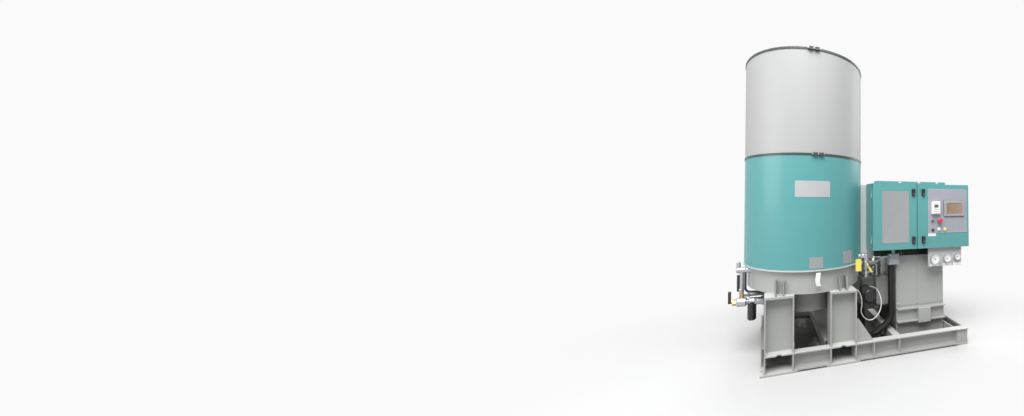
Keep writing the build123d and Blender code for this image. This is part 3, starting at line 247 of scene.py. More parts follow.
def skid_soil_and_shade(paint, tone, drift, colour):
    """Dust low down, painted light on top faces, painted shade with grease under the burner and with oil in
    the end beam, and painted shade on the skirt's fins.
    """
    floor_dust = (0.38, 0.365, 0.325)
    burner_shade_and_grease = (0.045, 0.044, 0.036)
    trough_shade_and_oil = (0.05, 0.048, 0.04)
    lit_top_levels = (0.016, 0.168, 0.6555)
    column_head = 0.656
    rail_head = 0.169
    fin_ring = 0.3285
    x, y, z = (paint.axis(letter) for letter in "XYZ")
    low = paint.band(z, 0.5, 0.02)
    tone = paint.blend(low * paint.noise(14, 5) * 0.4, tone, floor_dust)
    sides = paint.band(y * y, 0.1, 0.25)
    # Painted light: a lighter copy of the paint on the top faces at these levels, away from the middle of the
    # skid.
    for level in lit_top_levels:
        top_face_light = paint.band(z, level - 0.004, level - 0.002) * paint.band(z, level + 0.004, level + 0.002)
        tone = paint.blend(top_face_light * sides * (0.5 + drift * 0.4), tone, shaded(colour, 1.65))
    # Painted shade together with grease: the skid darkens under the burner, between the columns.
    shade_and_wetness = 0.6 + drift * 0.2
    under = paint.band(y, -0.46, -0.4) * paint.band(y, 0.48, 0.42) * (x < 0.44)
    under = under * paint.band(z, column_head, column_head - 0.006)
    under = under * (0.45 + paint.band(z, rail_head, rail_head + 0.006) * 0.55)
    tone = paint.blend(under * shade_and_wetness, tone, burner_shade_and_grease)
    # Painted shade together with oil in the trough of the end beam.
    trough = paint.between(x, 1.4935, 1.5925) * paint.between(y, -0.56, 0.56) * paint.band(z, 0.16, 0.12)
    tone = paint.blend(trough * shade_and_wetness, tone, trough_shade_and_oil)
    # Painted shade: the skirt's fins get a darker copy of the paint.
    fin_shade = (x * x + y * y > fin_ring) * paint.between(z, 0.6565, 0.79) * paint.between(x, -0.4, 0.4)
    return paint.blend(fin_shade * 0.9, tone, shaded(colour, 0.52))


def casing_enamel(name, colour, roughness, coat):
    """Casing sheet: enamel with faint rolled waves and rubbed patches."""
    paint = Paint(name, coat=coat)
    drift = paint.noise(1.6, 4)
    waves = paint.noise(2.4, 2, paint.stretched((1, 1, 0.25)))
    rubbed = paint.band(paint.noise(5, 7, paint.stretched((1, 1, 2.5))), 0.6, 0.8)
    tone = paint.blend(drift, shaded(colour, 0.96), shaded(colour, 1.04))
    tone = paint.blend(rubbed * 0.1, tone, shaded(colour, 0.78))
    gloss = roughness + (drift - 0.5) * 0.1 + rubbed * 0.1
    height = waves * 6 + paint.noise(220, 2) * 0.25
    return paint.finish(tone, gloss, height, strength=0.1, distance=0.002)


def plated_steel(name, colour, roughness, grain=(1, 1, 30)):
    """Plated steel or brass with fine drawn lines and dull spots."""
    paint = Paint(name, metallic=1.0)
    lines = paint.noise(60, 3, paint.stretched(grain))
    spots = paint.band(paint.noise(45, 6), 0.55, 0.75)
    tone = paint.blend(spots * 0.45, colour, shaded(colour, 0.62))
    gloss = roughness + lines * 0.12 + spots * 0.18
    return paint.finish(tone, gloss, lines, strength=0.06, distance=0.0004)


def moulded(name, colour, roughness, grain=520, depth=0.12, coat=0.0):
    """Moulded plastic or dipped sleeve with a fine skin and handling marks."""
    paint = Paint(name, coat=coat)
    marks = paint.band(paint.noise(30, 6), 0.5, 0.8)
    tone = paint.blend(marks * 0.3, colour, shaded(colour, 0.8))
    gloss = roughness + marks * 0.12
    return paint.finish(tone, gloss, paint.noise(grain, 2), strength=depth, distance=0.0004)


def oily_pan(name):
    """Dark pan sheet wetted by oil, with dry streaks of dust from front to back."""
    paint = Paint(name, specular=0.2)
    streaks = paint.band(paint.noise(9, 5, paint.stretched((1, 0.35, 1))), 0.52, 0.7)
    spots = paint.band(paint.noise(38, 4), 0.64, 0.76)
    tone = paint.blend(streaks, (0.014, 0.0145, 0.011), (0.22, 0.213, 0.18))
    tone = paint.blend(spots * 0.3, tone, (0.2, 0.19, 0.16))
    return paint.finish(tone, 0.55 + streaks * 0.2, paint.noise(60, 3), strength=0.1, distance=0.001)


def ribbed_rubber(name):
    """Black hose with close ribs along its height, dust in the grooves and a pale sensor conduit."""
    rib_rate = 700
    sensor_foot = 0.835
    sensor_right = 0.812
    paint = Paint(name, specular=0.3)
    ribs = paint.node("ShaderNodeMath", {"operation": "SINE"}, {0: paint.axis("Z") * rib_rate})
    dust = paint.band(ribs, -0.4, -1.0) * paint.noise(25, 5)
    tone = paint.blend(dust * 0.4, (0.006, 0.006, 0.0065), (0.05, 0.048, 0.042))
    sensor = (paint.axis("Z") > sensor_foot) * (paint.axis("X") < sensor_right)
    tone = paint.blend(sensor, tone, (0.6, 0.62, 0.65))
    return paint.finish(tone, 0.5 + dust * 0.3, ribs, strength=0.5, distance=0.0015)


def button_caps(name):
    """Push buttons whose cap colour follows their place on the panel."""
    black = (0.012, 0.01, 0.012)
    white = (0.82, 0.8, 0.82)
    yellow = (0.85, 0.72, 0.2)
    green = (0.03, 0.13, 0.12)
    paint = Paint(name, coat=0.4)
    low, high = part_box("control_buttons")
    upper = paint.axis("Z") > (low[2] + high[2]) / 2
    second = paint.axis("X") > low[0] + 0.055
    third = paint.axis("X") > low[0] + 0.12
    tone = paint.blend(second, black, white)
    tone = paint.blend(third, tone, yellow)
    tone = paint.blend(upper, tone, green)
    marks = paint.band(paint.noise(90, 5), 0.5, 0.8)
    tone = paint.blend(marks * 0.2, tone, (0.2, 0.2, 0.2))
    return paint.finish(tone, 0.3 + marks * 0.2, paint.noise(400, 2), strength=0.08, distance=0.0003)


def screen_glass(name):
    """Dark brown screen that is switched off, with a painted sheen that lightens it towards the right, and
    finger marks.
    """
    paint = Paint(name, coat=0.3)
    low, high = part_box("touch_screen")
    across = (paint.axis("X") - low[0]) / (high[0] - low[0])
    smear = paint.band(paint.noise(22, 5, paint.stretched((1, 1, 0.4))), 0.5, 0.8)
    # Painted sheen: the brown lightens from left to right across the screen.
    tone = paint.blend(across, (0.25, 0.17, 0.11), (0.33, 0.24, 0.17))
    tone = paint.blend(smear * 0.3, tone, (0.3, 0.25, 0.21))
    return paint.finish(tone, 0.25 + smear * 0.25, paint.noise(300, 2), strength=0.03, distance=0.0002)


def bare_overlay(name, colour):
    """Matt panel overlay with a paler border and faint wipe marks."""
    border = 0.008
    paint = Paint(name)
    low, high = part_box("control_panel")
    inside = paint.between(paint.axis("X"), low[0] + border, high[0] - border)
    inside = inside * paint.between(paint.axis("Z"), low[2] + border, high[2] - border)
    wipe = paint.noise(6, 6, paint.stretched((3, 1, 0.6)))
    tone = paint.blend(wipe, shaded(colour, 0.94), shaded(colour, 1.06))
    tone = paint.blend(inside, shaded(colour, 1.18), tone)
    return paint.finish(tone, 0.5 + wipe * 0.15, paint.noise(700, 2), strength=0.1, distance=0.0003)


def node_finishes(colours):
    """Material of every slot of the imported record."""
    return {
        "skid_grey": enamel("skid enamel", colours.skid_grey, 0.42, soil_and_shade=skid_soil_and_shade),
        "pan_dark": oily_pan("oily pan sheet"),
        "casing_teal": casing_enamel("casing teal enamel", colours.casing_teal, 0.44, coat=0.12),
        "casing_grey": casing_enamel("casing grey enamel", colours.casing_grey, 0.5, coat=0.04),
        "rim_white": enamel("rim enamel", (0.53, 0.54, 0.53), 0.4, mottle=0.1),
        "band_dark": enamel("clamp band enamel", (0.036, 0.045, 0.045), 0.45, mottle=0.2),
        "cabinet_teal": enamel("cabinet teal enamel", colours.cabinet_teal, 0.36, coat=0.25),
        "hinge_steel": plated_steel("hinge plating", (0.55, 0.55, 0.55), 0.3),
        "latch_black": moulded("latch moulding", (0.016, 0.016, 0.017), 0.42),
        "bezel_grey": moulded("bezel moulding", (0.345, 0.35, 0.375), 0.45),
        "panel_lilac": bare_overlay("panel overlay", colours.overlay),
        "screen_brown": screen_glass("screen glass"),
        "white_plastic": moulded("white moulding", (0.84, 0.84, 0.83), 0.35, coat=0.2),
        "stop_red": moulded("stop head moulding", (0.62, 0.03, 0.035), 0.3, coat=0.4),
        "button_mixed": button_caps("button caps"),
        "plate_light": enamel("gauge plate enamel", (0.45, 0.455, 0.45), 0.42),
        "gauge_steel": plated_steel("gauge case steel", (0.74, 0.74, 0.74), 0.18, grain=(1, 1, 1)),
        "junction_grey": enamel("junction box enamel", (0.32, 0.36, 0.375), 0.45, mottle=0.12),
        "conduit_black": ribbed_rubber("ribbed hose"),
        "pump_grey": enamel("pump enamel", (0.4, 0.408, 0.39), 0.45, mottle=0.14),
        "motor_black": enamel("motor enamel", (0.014, 0.015, 0.014), 0.5, mottle=0.3, peel=0.15),
        "pipe_steel": plated_steel("pipe plating", (0.48, 0.49, 0.51), 0.34),
        "brass": plated_steel("brass fitting", (0.5, 0.38, 0.19), 0.36),
        "lever_yellow": moulded("yellow sleeve", colours.sleeve, 0.35, coat=0.3),
        "cable_white": moulded("cable jacket", (0.72, 0.71, 0.68), 0.4),
    }


def finish_of(name):
    return bpy.data.materials[name]


# Modelling helpers
def leave_edit():
    if bpy.context.object and bpy.context.object.mode != "OBJECT":
        bpy.ops.object.mode_set(mode="OBJECT")


def begin():
    """Object mode with nothing selected."""
    leave_edit()
    bpy.ops.object.select_all(action="DESELECT")


def settle():
    """Puts the place, turn and scale of the selected piece into its mesh."""
    bpy.ops.object.transform_apply(location=True, rotation=True, scale=True)


def turn_outwards():
    """In edit mode, makes all faces point outwards."""
    bpy.ops.mesh.select_all(action="SELECT")
    bpy.ops.mesh.normals_make_consistent(inside=False)


def choose(piece, test, kind="faces"):
    """In edit mode, selects the faces or edges that pass the test."""
    bpy.ops.mesh.select_all(action="DESELECT")
    edited = bmesh.from_edit_mesh(piece.data)
    for part in getattr(edited, kind):
        if test(part):
            part.select_set(True)
    edited.select_flush_mode()
    bmesh.update_edit_mesh(piece.data)


def block(low, high):
    """A box between two corners, left in edit mode."""
    begin()
    middle = [(a + b) / 2 for a, b in zip(low, high)]
    bpy.ops.mesh.primitive_cube_add(size=1, location=middle)
    piece = bpy.context.object
    piece.scale = [b - a for a, b in zip(low, high)]
    settle()
    bpy.ops.object.mode_set(mode="EDIT")
    bpy.ops.mesh.select_mode(type="EDGE")
    return piece


def rod(start, end, radius, sides=24):
    """A round bar between two points, left in edit mode."""
    begin()
    run = Vector(end) - Vector(start)
    turn = run.to_track_quat("Z", "Y").to_euler()
    middle = (Vector(start) + Vector(end)) / 2
    bpy.ops.mesh.primitive_cylinder_add(
        vertices=sides, radius=radius, depth=run.length, location=middle, rotation=turn
    )
    piece = bpy.context.object
    settle()
    bpy.ops.object.mode_set(mode="EDIT")
    return piece


def upright_sheet(middle, width, height, turn):
    """A flat sheet that stands upright, left in edit mode."""
    begin()
    bpy.ops.mesh.primitive_plane_add(size=1, location=middle)
    piece = bpy.context.object
    piece.rotation_euler.x = turn
    piece.scale = (width, height, 1)
    settle()
    bpy.ops.object.mode_set(mode="EDIT")
    return piece


def faces_along(direction):
    return lambda face: face.normal.dot(direction) > 0.9


def edges_along(direction):
    def test(edge):
        run = edge.verts[1].co - edge.verts[0].co
        return abs(run.normalized().dot(direction)) > 0.99

    return test


def step_face(piece, direction, inset, out):
    """Insets the face that looks along direction and moves the inner face by out."""
    choose(piece, faces_along(direction))
    bpy.ops.mesh.inset(thickness=inset, depth=0)
    bpy.ops.transform.translate(value=direction * out)


def soften(piece, direction, width, segments=2):
    """Bevels the rim of the face that looks along direction."""
    choose(piece, faces_along(direction))
    bpy.ops.mesh.region_to_loop()
    bpy.ops.mesh.bevel(offset=width, segments=segments, affect="EDGES")


def dressed(piece, name, material, body="base"):
    """Names a finished piece, gives it its material and lets it ride on a body."""
    begin()
    piece.select_set(True)
    bpy.context.view_layer.objects.active = piece
    settle()
    bpy.ops.object.shade_smooth_by_angle(angle=math.radians(35))
    piece.name = name
    piece.data.name = name
    piece.data.materials.clear()
    piece.data.materials.append(material)
    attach(piece, body)


def joined(pieces):
    """Several pieces as one object."""
    begin()
    for piece in pieces:
        piece.select_set(True)
    bpy.context.view_layer.objects.active = pieces[0]
    if len(pieces) > 1:
        bpy.ops.object.join()
    return bpy.context.object


def copies(model, moves):
    """One object of copies of a model, each with its own mesh moved by a matrix."""
    begin()
    made = []
    for move in moves:
        copy = model.copy()
        copy.data = model.data.copy()
        bpy.context.collection.objects.link(copy)
        copy.data.transform(move)
        made.append(copy)
    bpy.data.objects.remove(model)
    return joined(made)


def set_out(model, places):
    """Copies of a model that stands on the origin along Z, one for each place and outward direction."""
    moves = []
    for place, outward in places:
        turn = Vector(outward).to_track_quat("Z", "Y").to_matrix().to_4x4()
        moves.append(Matrix.Translation(place) @ turn)
    return copies(model, moves)


def grid(columns, front, rows, outward=toward_viewer):
    """Places on an upright plane, column by column."""
    return [((x, front, z), outward) for x in columns for z in rows]


def ring_of_places(middle, count, radius, start=0):
    """Places on a level circle, evenly spaced and facing up."""
    places = []
    for step in range(count):
        turn = start + 2 * math.pi * step / count
        spoke = Vector((math.cos(turn), math.sin(turn), 0)) * radius
        places.append((Vector(middle) + spoke, upward))
    return places


def hexagon_bolt(radius):
    """Hexagon head with a rounded crown on a washer, standing on the origin."""
    seat = radius * 0.3
    crown = radius * 1.3
    washer = rod((0, 0, 0), (0, 0, seat), radius * 1.65)
    soften(washer, upward, radius * 0.1, segments=1)
    head = rod((0, 0, seat), (0, 0, crown), radius * 1.15, sides=6)
    soften(head, upward, radius * 0.16)
    return joined([washer, head])


def cross_screw(radius):
    """Small pan head screw with a sunk drive, standing on the origin."""
    head = rod((0, 0, 0), (0, 0, radius * 0.6), radius, sides=16)
    soften(head, upward, radius * 0.25, segments=3)
    step_face(head, upward, inset=radius * 0.35, out=-radius * 0.2)
    return head


def sheet_plate(low, high, corner, border, sink, outward=toward_viewer):
    """A thin plate with round corners and a raised border, facing the viewer or the given way."""
    piece = block(low, high)
    choose(piece, edges_along(outward), "edges")
    bpy.ops.mesh.bevel(offset=corner, segments=4, affect="EDGES")
    step_face(piece, outward, border, -sink)
    return piece


def rolled_plate(radius, thickness, first, last, low, high):
    """A plate rolled to the casing, between two angles in degrees from the front and two levels."""
    starter = 0.0004
    piece = block((-starter, -radius - thickness, low), (0, -radius, high))
    choose(piece, faces_along(along_skid))
    bpy.ops.mesh.spin(steps=12, angle=math.radians(first - last), center=(0, 0, 0), axis=(0, 0, 1))
    turn_outwards()
    leave_edit()
    piece.rotation_euler.z = math.radians(first)
    settle()
    return piece


def pipe_elbow(radius, bend):
    """Cast quarter bend with collars: one leg down, one leg along X, the corner of the axes on the origin."""
    collar_start = bend * 0.75
    collar_end = bend * 1.3
    begin()
    bpy.ops.mesh.primitive_circle_add(vertices=24, radius=radius, fill_type="NGON", location=(0, 0, -bend))
    body = bpy.context.object
    settle()
    bpy.ops.object.mode_set(mode="EDIT")
    bpy.ops.mesh.select_all(action="SELECT")
    bpy.ops.mesh.spin(steps=10, angle=-math.pi / 2, center=(bend, 0, -bend), axis=(0, 1, 0))
    turn_outwards()
    pieces = [body]
    for leg in (-upward, along_skid):
        collar = rod(leg * collar_start, leg * collar_end, radius * 1.16)
        soften(collar, leg, radius * 0.1)
        pieces.append(collar)
    return joined(pieces)


def union_nut(place, outward, radius, length):
    """Hexagon nut round a pipe, with both rims rounded."""
    half = outward * length / 2
    nut = rod(Vector(place) - half, Vector(place) + half, radius, sides=6)
    soften(nut, outward, radius * 0.12)
    soften(nut, -outward, radius * 0.12)
    return nut


class BoilerOperator:
    """What the boiler's operators share."""

    bl_options = {"REGISTER", "UNDO"}

    def execute(self, context):
        self.make(context.scene.boiler_sizes, context.scene.boiler_colours)
        return {"FINISHED"}


class BOILER_OT_stage(BoilerOperator, bpy.types.Operator):
    """Adds the camera, the pale floor and the soft lights"""

    bl_idname = "boiler.stage"
    bl_label = "Stage"

    backdrop = (0.955, 0.955, 0.955)
    sky = (0.95, 0.97, 1.0)
    # Name, place, aim, size and power of each lamp
    lamps = (
        ("key", (-1.3, -4.2, 7.6), (0.3, 0, 1.2), 4.2, 685),
        ("side", (-5.6, -2.4, 3.2), (0, 0, 1.4), 3.8, 190),
        ("top", (1.9, -3.0, 4.8), (0.8, -0.3, 0.5), 3.2, 85),
        ("rear", (4.4, 1.2, 3.5), (0.3, 0, 2.2), 2.6, 62),
        ("back", (0.6, 4.2, 6.6), (0.3, 0, 1.4), 3.6, 170),
    )

    def make(self, sizes, colours):
        scene = bpy.context.scene
        scene.view_settings.view_transform = "Standard"
        begin()
        bpy.ops.object.camera_add(
            location=(-0.4196, -3.2311, 1.4443),
            rotation=(math.radians(91.66), 0, math.radians(-17.43)),
        )
        camera = bpy.context.object
        camera.data.sensor_width = 36
        camera.data.lens = 10.547
        camera.data.shift_x = -0.3376
        camera.data.shift_y = -0.0125
        camera.data.clip_end = 200
        scene.camera = camera
        self.floor(colours.floor)
        self.lights(scene)

    def floor(self, colour):
        """A wide pale floor that takes the shadow near the boiler and turns into the backdrop further off."""
        just_below = (0, 0, -0.0005)
        begin()
        bpy.ops.mesh.primitive_circle_add(vertices=64, radius=40, fill_type="NGON", location=just_below)
        floor = bpy.context.object
        settle()
        floor.name = "studio_floor"
        paint = Paint("studio floor")
        across = (paint.axis("X") - 0.45) * 0.55
        deep = paint.axis("Y")
        far = paint.band((across * across + deep * deep) ** 0.5, 0.8, 1.9)
        seen = paint.seen_rays()
        tone = paint.blend(paint.noise(1.2, 4), shaded(colour, 0.985), shaded(colour, 1.01))
        tone = paint.blend(seen, shaded(colour, 0.55), tone)
        paint.finish(tone, 0.6)
        lit = Value(paint, paint.shader.outputs[0])
        glow = paint.node("ShaderNodeEmission", {}, {"Color": self.backdrop})
        paint.end_in_mix(far * seen, lit, glow, "Material Output")
        floor.data.materials.append(paint.material)

    def lights(self, scene):
        world = bpy.data.worlds.new("studio")
        scene.world = world
        world.use_nodes = True
        nodes = Nodes(world.node_tree)
        back = world.node_tree.nodes["Background"]
        nodes.feed(back.inputs["Color"], self.sky)
        nodes.feed(back.inputs["Strength"], 0.25)
        seen = nodes.node("ShaderNodeBackground", {}, {"Color": self.backdrop})
        nodes.end_in_mix(nodes.seen_rays(), Value(nodes, back.outputs[0]), seen, "World Output")
        for name, place, aim, size, power in self.lamps:
            begin()
            turn = (Vector(aim) - Vector(place)).to_track_quat("-Z", "Y").to_euler()
            bpy.ops.object.light_add(type="AREA", location=place, rotation=turn)
            lamp = bpy.context.object
            lamp.name = name
            lamp.data.size = size
            lamp.data.energy = power


class BOILER_OT_finishes(BoilerOperator, bpy.types.Operator):
    """Gives every CAD node the material of its slot, and the back plate a paler enamel as painted light"""

    bl_idname = "boiler.finishes"
    bl_label = "Finishes"

    def make(self, sizes, colours):
        finishes = node_finishes(colours)
        # Painted light: the back plate gets a paler enamel than the skid, standing in for light falling on
        # it.
        pale = enamel("back plate enamel", (0.54, 0.56, 0.56), 0.42)
        for entry in frame["record"]["subparts"]:
            node = frame["nodes"][entry["node"]]
            material = finishes[entry["material_slot"]]
            node.data.materials.clear()
            node.data.materials.append(pale if entry["node"] == "back_plate" else material)


class BOILER_OT_cable(BoilerOperator, bpy.types.Operator):
    """Hangs the pale cable between its two glands"""

    bl_idname = "boiler.cable"
    bl_label = "Cable"

    route = (
        (0.4175, -0.44, 0.616),
        (0.45, -0.44, 0.616),
        (0.478, -0.437, 0.585),
        (0.497, -0.434, 0.534),
        (0.505, -0.43, 0.469),
        (0.491, -0.426, 0.393),
        (0.528, -0.421, 0.329),
        (0.594, -0.412, 0.292),
        (0.663, -0.4, 0.315),
        (0.717, -0.385, 0.377),
        (0.745, -0.34, 0.455),
        (0.741, -0.285, 0.517),
        (0.728, -0.24, 0.55),
        (0.698, -0.208, 0.566),
        (0.662, -0.208, 0.566),
    )

    def make(self, sizes, colours):
        line = bpy.data.curves.new("cable", "CURVE")
        line.dimensions = "3D"
        line.resolution_u = 8
        line.bevel_depth = sizes.cable_radius
        line.bevel_resolution = 4
        line.use_fill_caps = True
        spline = line.splines.new("NURBS")
        spline.points.add(len(self.route) - 1)
        for point, place in zip(spline.points, self.route):
            point.co = (*place, 1)
        spline.order_u = 3
        spline.use_endpoint_u = True
        cable = bpy.data.objects.new("hanging_cable", line)
        bpy.context.collection.objects.link(cable)
        line.materials.append(finish_of("cable jacket"))
        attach(cable, "base")
        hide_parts("cable_loop")


class BOILER_OT_casing_plates(BoilerOperator, bpy.types.Operator):
    """Rolls the bare plates of the casing and hangs the white tag"""

    bl_idname = "boiler.casing_plates"
    bl_label = "Casing plates"

    # First and last angle from the front, lowest and highest level
    name_plate = (-15.4, 14.6, 1.505, 1.648)
    data_plate = (-3.2, 8.3, 0.878, 0.977)
    side_plate = (28.6, 41.3, 0.888, 1.005)
    # Angle from the front and level of each screw
    screws = ((-14.6, 1.576), (13.8, 1.576), (-2.5, 0.97), (7.6, 0.885), (29.3, 0.998), (40.6, 0.895))
    # Sideways and outward drift of the tag at each step down
    curl = ((-0.003, -0.002), (-0.004, -0.003), (-0.001, -0.002), (0.004, 0), (0.007, 0.002))

    def make(self, sizes, colours):
        bare = moulded("bare plate", colours.plate, 0.4, grain=300, depth=0.05)
        wide = enamel("plate enamel", (0.44, 0.455, 0.455), 0.35, coat=0.2)
        radius = sizes.casing_radius
        sheet = sizes.sheet
        for name, reach, material in (
            ("name_plate", self.name_plate, wide),
            ("data_plate", self.data_plate, bare),
            ("side_plate", self.side_plate, bare),
        ):
            dressed(rolled_plate(radius, sheet, *reach), name, material)
        places = []
        for turn, level in self.screws:
            outward = Vector((math.sin(math.radians(turn)), -math.cos(math.radians(turn)), 0))
            places.append((outward * (radius + sheet) + Vector((0, 0, level)), outward))
        screws = set_out(cross_screw(sizes.screw_radius), places)
        dressed(screws, "plate_screws", finish_of("hinge plating"))
        dressed(self.curled_tag(sheet), "white_tag", finish_of("white moulding"))

    def curled_tag(self, sheet):
        """A thin tag that hangs from the rim, drawn down step by step in a slight curl."""
        width = 0.041
        top = 0.842
        tab = 0.006
        step = 0.0218
        tag = upright_sheet((0.0445, -0.6075, top - tab / 2), width, tab, math.pi / 2)
        bpy.ops.mesh.select_mode(type="EDGE")
        choose(tag, lambda edge: all(vert.co.z < top - tab * 0.9 for vert in edge.verts), "edges")
        for across, out in self.curl:
            bpy.ops.mesh.extrude_region_move(TRANSFORM_OT_translate={"value": (across, out, -step)})
        leave_edit()
        wall = tag.modifiers.new("sheet", "SOLIDIFY")
        wall.thickness = sheet
        wall.offset = 0
        bpy.ops.object.modifier_apply(modifier=wall.name)
        return tag


class BOILER_OT_clamps(BoilerOperator, bpy.types.Operator):
    """Adds the draw bolts between the lugs of both clamp bands"""

    bl_idname = "boiler.clamps"
    bl_label = "Clamp bolts"

    # Band and the angle of its lugs from the front
    bands = (("middle_band", 3.9), ("top_band", -0.1))

    def make(self, sizes, colours):
        off_casing = 0.014
        pieces = []
        for node, turn in self.bands:
            low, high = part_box(node)
            level = (low[2] + high[2]) / 2
            spin = Matrix.Rotation(math.radians(turn), 4, "Z")
            middle = spin @ Vector((0, -sizes.casing_radius - off_casing, level))
            across = spin @ along_skid
            bolt = rod(middle - across * 0.058, middle + across * 0.05, radius=0.004, sides=12)
            soften(bolt, across, width=0.001)
            pieces.append(bolt)
            for side in (-0.052, 0.05):
                pieces.append(union_nut(middle + across * side, across, radius=0.0085, length=0.007))
        dressed(joined(pieces), "clamp_bolts", finish_of("hinge plating"))


class BOILER_OT_doors(BoilerOperator, bpy.types.Operator):
    """Fits the bare door plate, the label, the latch keys and the door gaskets"""

    bl_idname = "boiler.doors"
    bl_label = "Door plates and gaskets"

    # Door, middle of its latches, left and right side of its gasket
    doors = (("left_door", 1.039, 0.604, 1.072), ("right_door", 1.15, 1.094, 1.702))
    latch_levels = (1.0755, 1.5595)

    def make(self, sizes, colours):
        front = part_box("left_door")[0][1]
        face = front - 0.002
        low = (0.695, face, 1.055)
        high = (0.99, front, 1.573)
        plate = sheet_plate(low, high, corner=0.006, border=0.004, sink=0.0005)
        finish = moulded("door plate", colours.plate, 0.42, grain=300, depth=0.05)
        dressed(plate, "door_plate", finish, "left_door")
        low = (1.208, front - 0.0012, 1.11)
        high = (1.3, front, 1.14)
        label = sheet_plate(low, high, corner=0.003, border=0.002, sink=0.0002)
        dressed(label, "door_label", finish_of("white moulding"), "right_door")
        places = grid((0.703, 0.982), face, (1.063, 1.314, 1.565))
        screws = set_out(cross_screw(sizes.screw_radius * 0.7), places)
        dressed(screws, "door_plate_screws", finish_of("hinge plating"), "left_door")
        dull = plated_steel("key steel", (0.16, 0.16, 0.165), 0.45)
        for body, middle, left, right in self.doors:
            self.latch_keys(body, middle, dull)
        rubber = moulded("gasket rubber", (0.02, 0.02, 0.02), 0.6)
        for body, middle, left, right in self.doors:
            self.gasket(body, left, right, sizes.gasket_width, rubber)

    def latch_keys(self, body, x, dull):
        """Round key heads with a slit, low on each latch of a door."""
        latches = body + "_latches"
        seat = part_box(latches)[0][1] + 0.0045
        face = seat - 0.0008
        keys = []
        for level in self.latch_levels:
            middle = level - 0.014
            key = rod((x, seat + 0.004, middle), (x, face, middle), radius=0.0085)
            step_face(key, toward_viewer, inset=0.0022, out=-0.0012)
            slit = block((x - 0.0012, face, middle - 0.005), (x + 0.0012, seat + 0.001, middle + 0.005))
            soften(slit, toward_viewer, width=0.0004)
            keys.append(joined([key, slit]))
        dressed(joined(keys), latches + "_keys", dull, body)

    def gasket(self, body, left, right, width, rubber):
        """A flat rubber frame on the inside of a door."""
        seat = -0.455
        thickness = 0.0038
        low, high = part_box(body)
        middle = ((left + right) / 2, seat, (low[2] + high[2]) / 2)
        seal = upright_sheet(middle, right - left, high[2] - low[2] - 0.008, -math.pi / 2)
        bpy.ops.mesh.select_all(action="SELECT")
        bpy.ops.mesh.inset(thickness=width, depth=0)
        bpy.ops.mesh.delete(type="FACE")
        bpy.ops.mesh.select_all(action="SELECT")
        bpy.ops.mesh.extrude_region_move(TRANSFORM_OT_translate={"value": (0, thickness, 0)})
        turn_outwards()
        dressed(seal, body + "_gasket", rubber, body)


class BOILER_OT_instruments(BoilerOperator, bpy.types.Operator):
    """Fits the face of the display unit, the screen seal and the button collars"""

    bl_idname = "boiler.instruments"
    bl_label = "Instruments"

    key_rows = (1.366, 1.388)
    # Place and radius of the collar of each button
    buttons = (
        (1.336, 1.27, 0.021),
        (1.258, 1.266, 0.0205),
        (1.26, 1.173, 0.0205),
        (1.331, 1.181, 0.0205),
        (1.403, 1.179, 0.0205),
    )

    def make(self, sizes, colours):
        self.display()
        self.screen_seal()
        self.collars()

    def display(self):
        """Face, window and two rows of keys of the burner's display unit."""
        margin = 0.01
        low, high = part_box("burner_controller")
        front = low[1]
        raised = front - 0.0045
        inner = front - 0.002
        face_low = (low[0] + margin, front - 0.003, low[2] + margin)
        face_high = (high[0] - margin, front, high[2] - margin)
        face = sheet_plate(face_low, face_high, corner=0.005, border=0.003, sink=0.001)
        dressed(face, "display_face", finish_of("white moulding"), "right_door")
        glass = moulded("display window", (0.1, 0.1, 0.06), 0.2, coat=0.5)
        window_low = (low[0] + 0.016, raised, 1.408)
        window_high = (high[0] - 0.03, inner, 1.436)
        window = sheet_plate(window_low, window_high, corner=0.002, border=0.002, sink=0.0006)
        dressed(window, "display_window", glass, "right_door")
        keys = []
        for row in self.key_rows:
            for column in range(4):
                x = low[0] + 0.013 + column * 0.0155
                key = block((x, raised, row - 0.004), (x + 0.0105, inner, row + 0.004))
                soften(key, toward_viewer, width=0.001)
                keys.append(key)
        grey = moulded("display keys", (0.5, 0.51, 0.51), 0.45)
        dressed(joined(keys), "display_keys", grey, "right_door")

    def screen_seal(self):
        """A dark seal that shows round the screen's bezel and stands in for the bezel's shadow as painted
        shade.
        """
        proud = 0.003
        low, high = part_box("screen_bezel")
        seal_low = (low[0] - proud, high[1] - 0.004, low[2] - proud)
        seal_high = (high[0] + proud, high[1], high[2] + proud)
        # Painted shade: the dark rim of this seal stands in for the shadow round the bezel.
        seal = block(seal_low, seal_high)
        soften(seal, toward_viewer, width=0.0015)
        dark = moulded("bezel seal", (0.05, 0.05, 0.055), 0.5)
        dressed(seal, "bezel_seal", dark, "right_door")

    def collars(self):
        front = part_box("control_panel")[0][1]
        rings = []
        for x, z, radius in self.buttons:
            ring = rod((x, front, z), (x, front - 0.004, z), radius)
            soften(ring, toward_viewer, width=0.0015)
            rings.append(ring)
        dressed(joined(rings), "button_collars", finish_of("hinge plating"), "right_door")


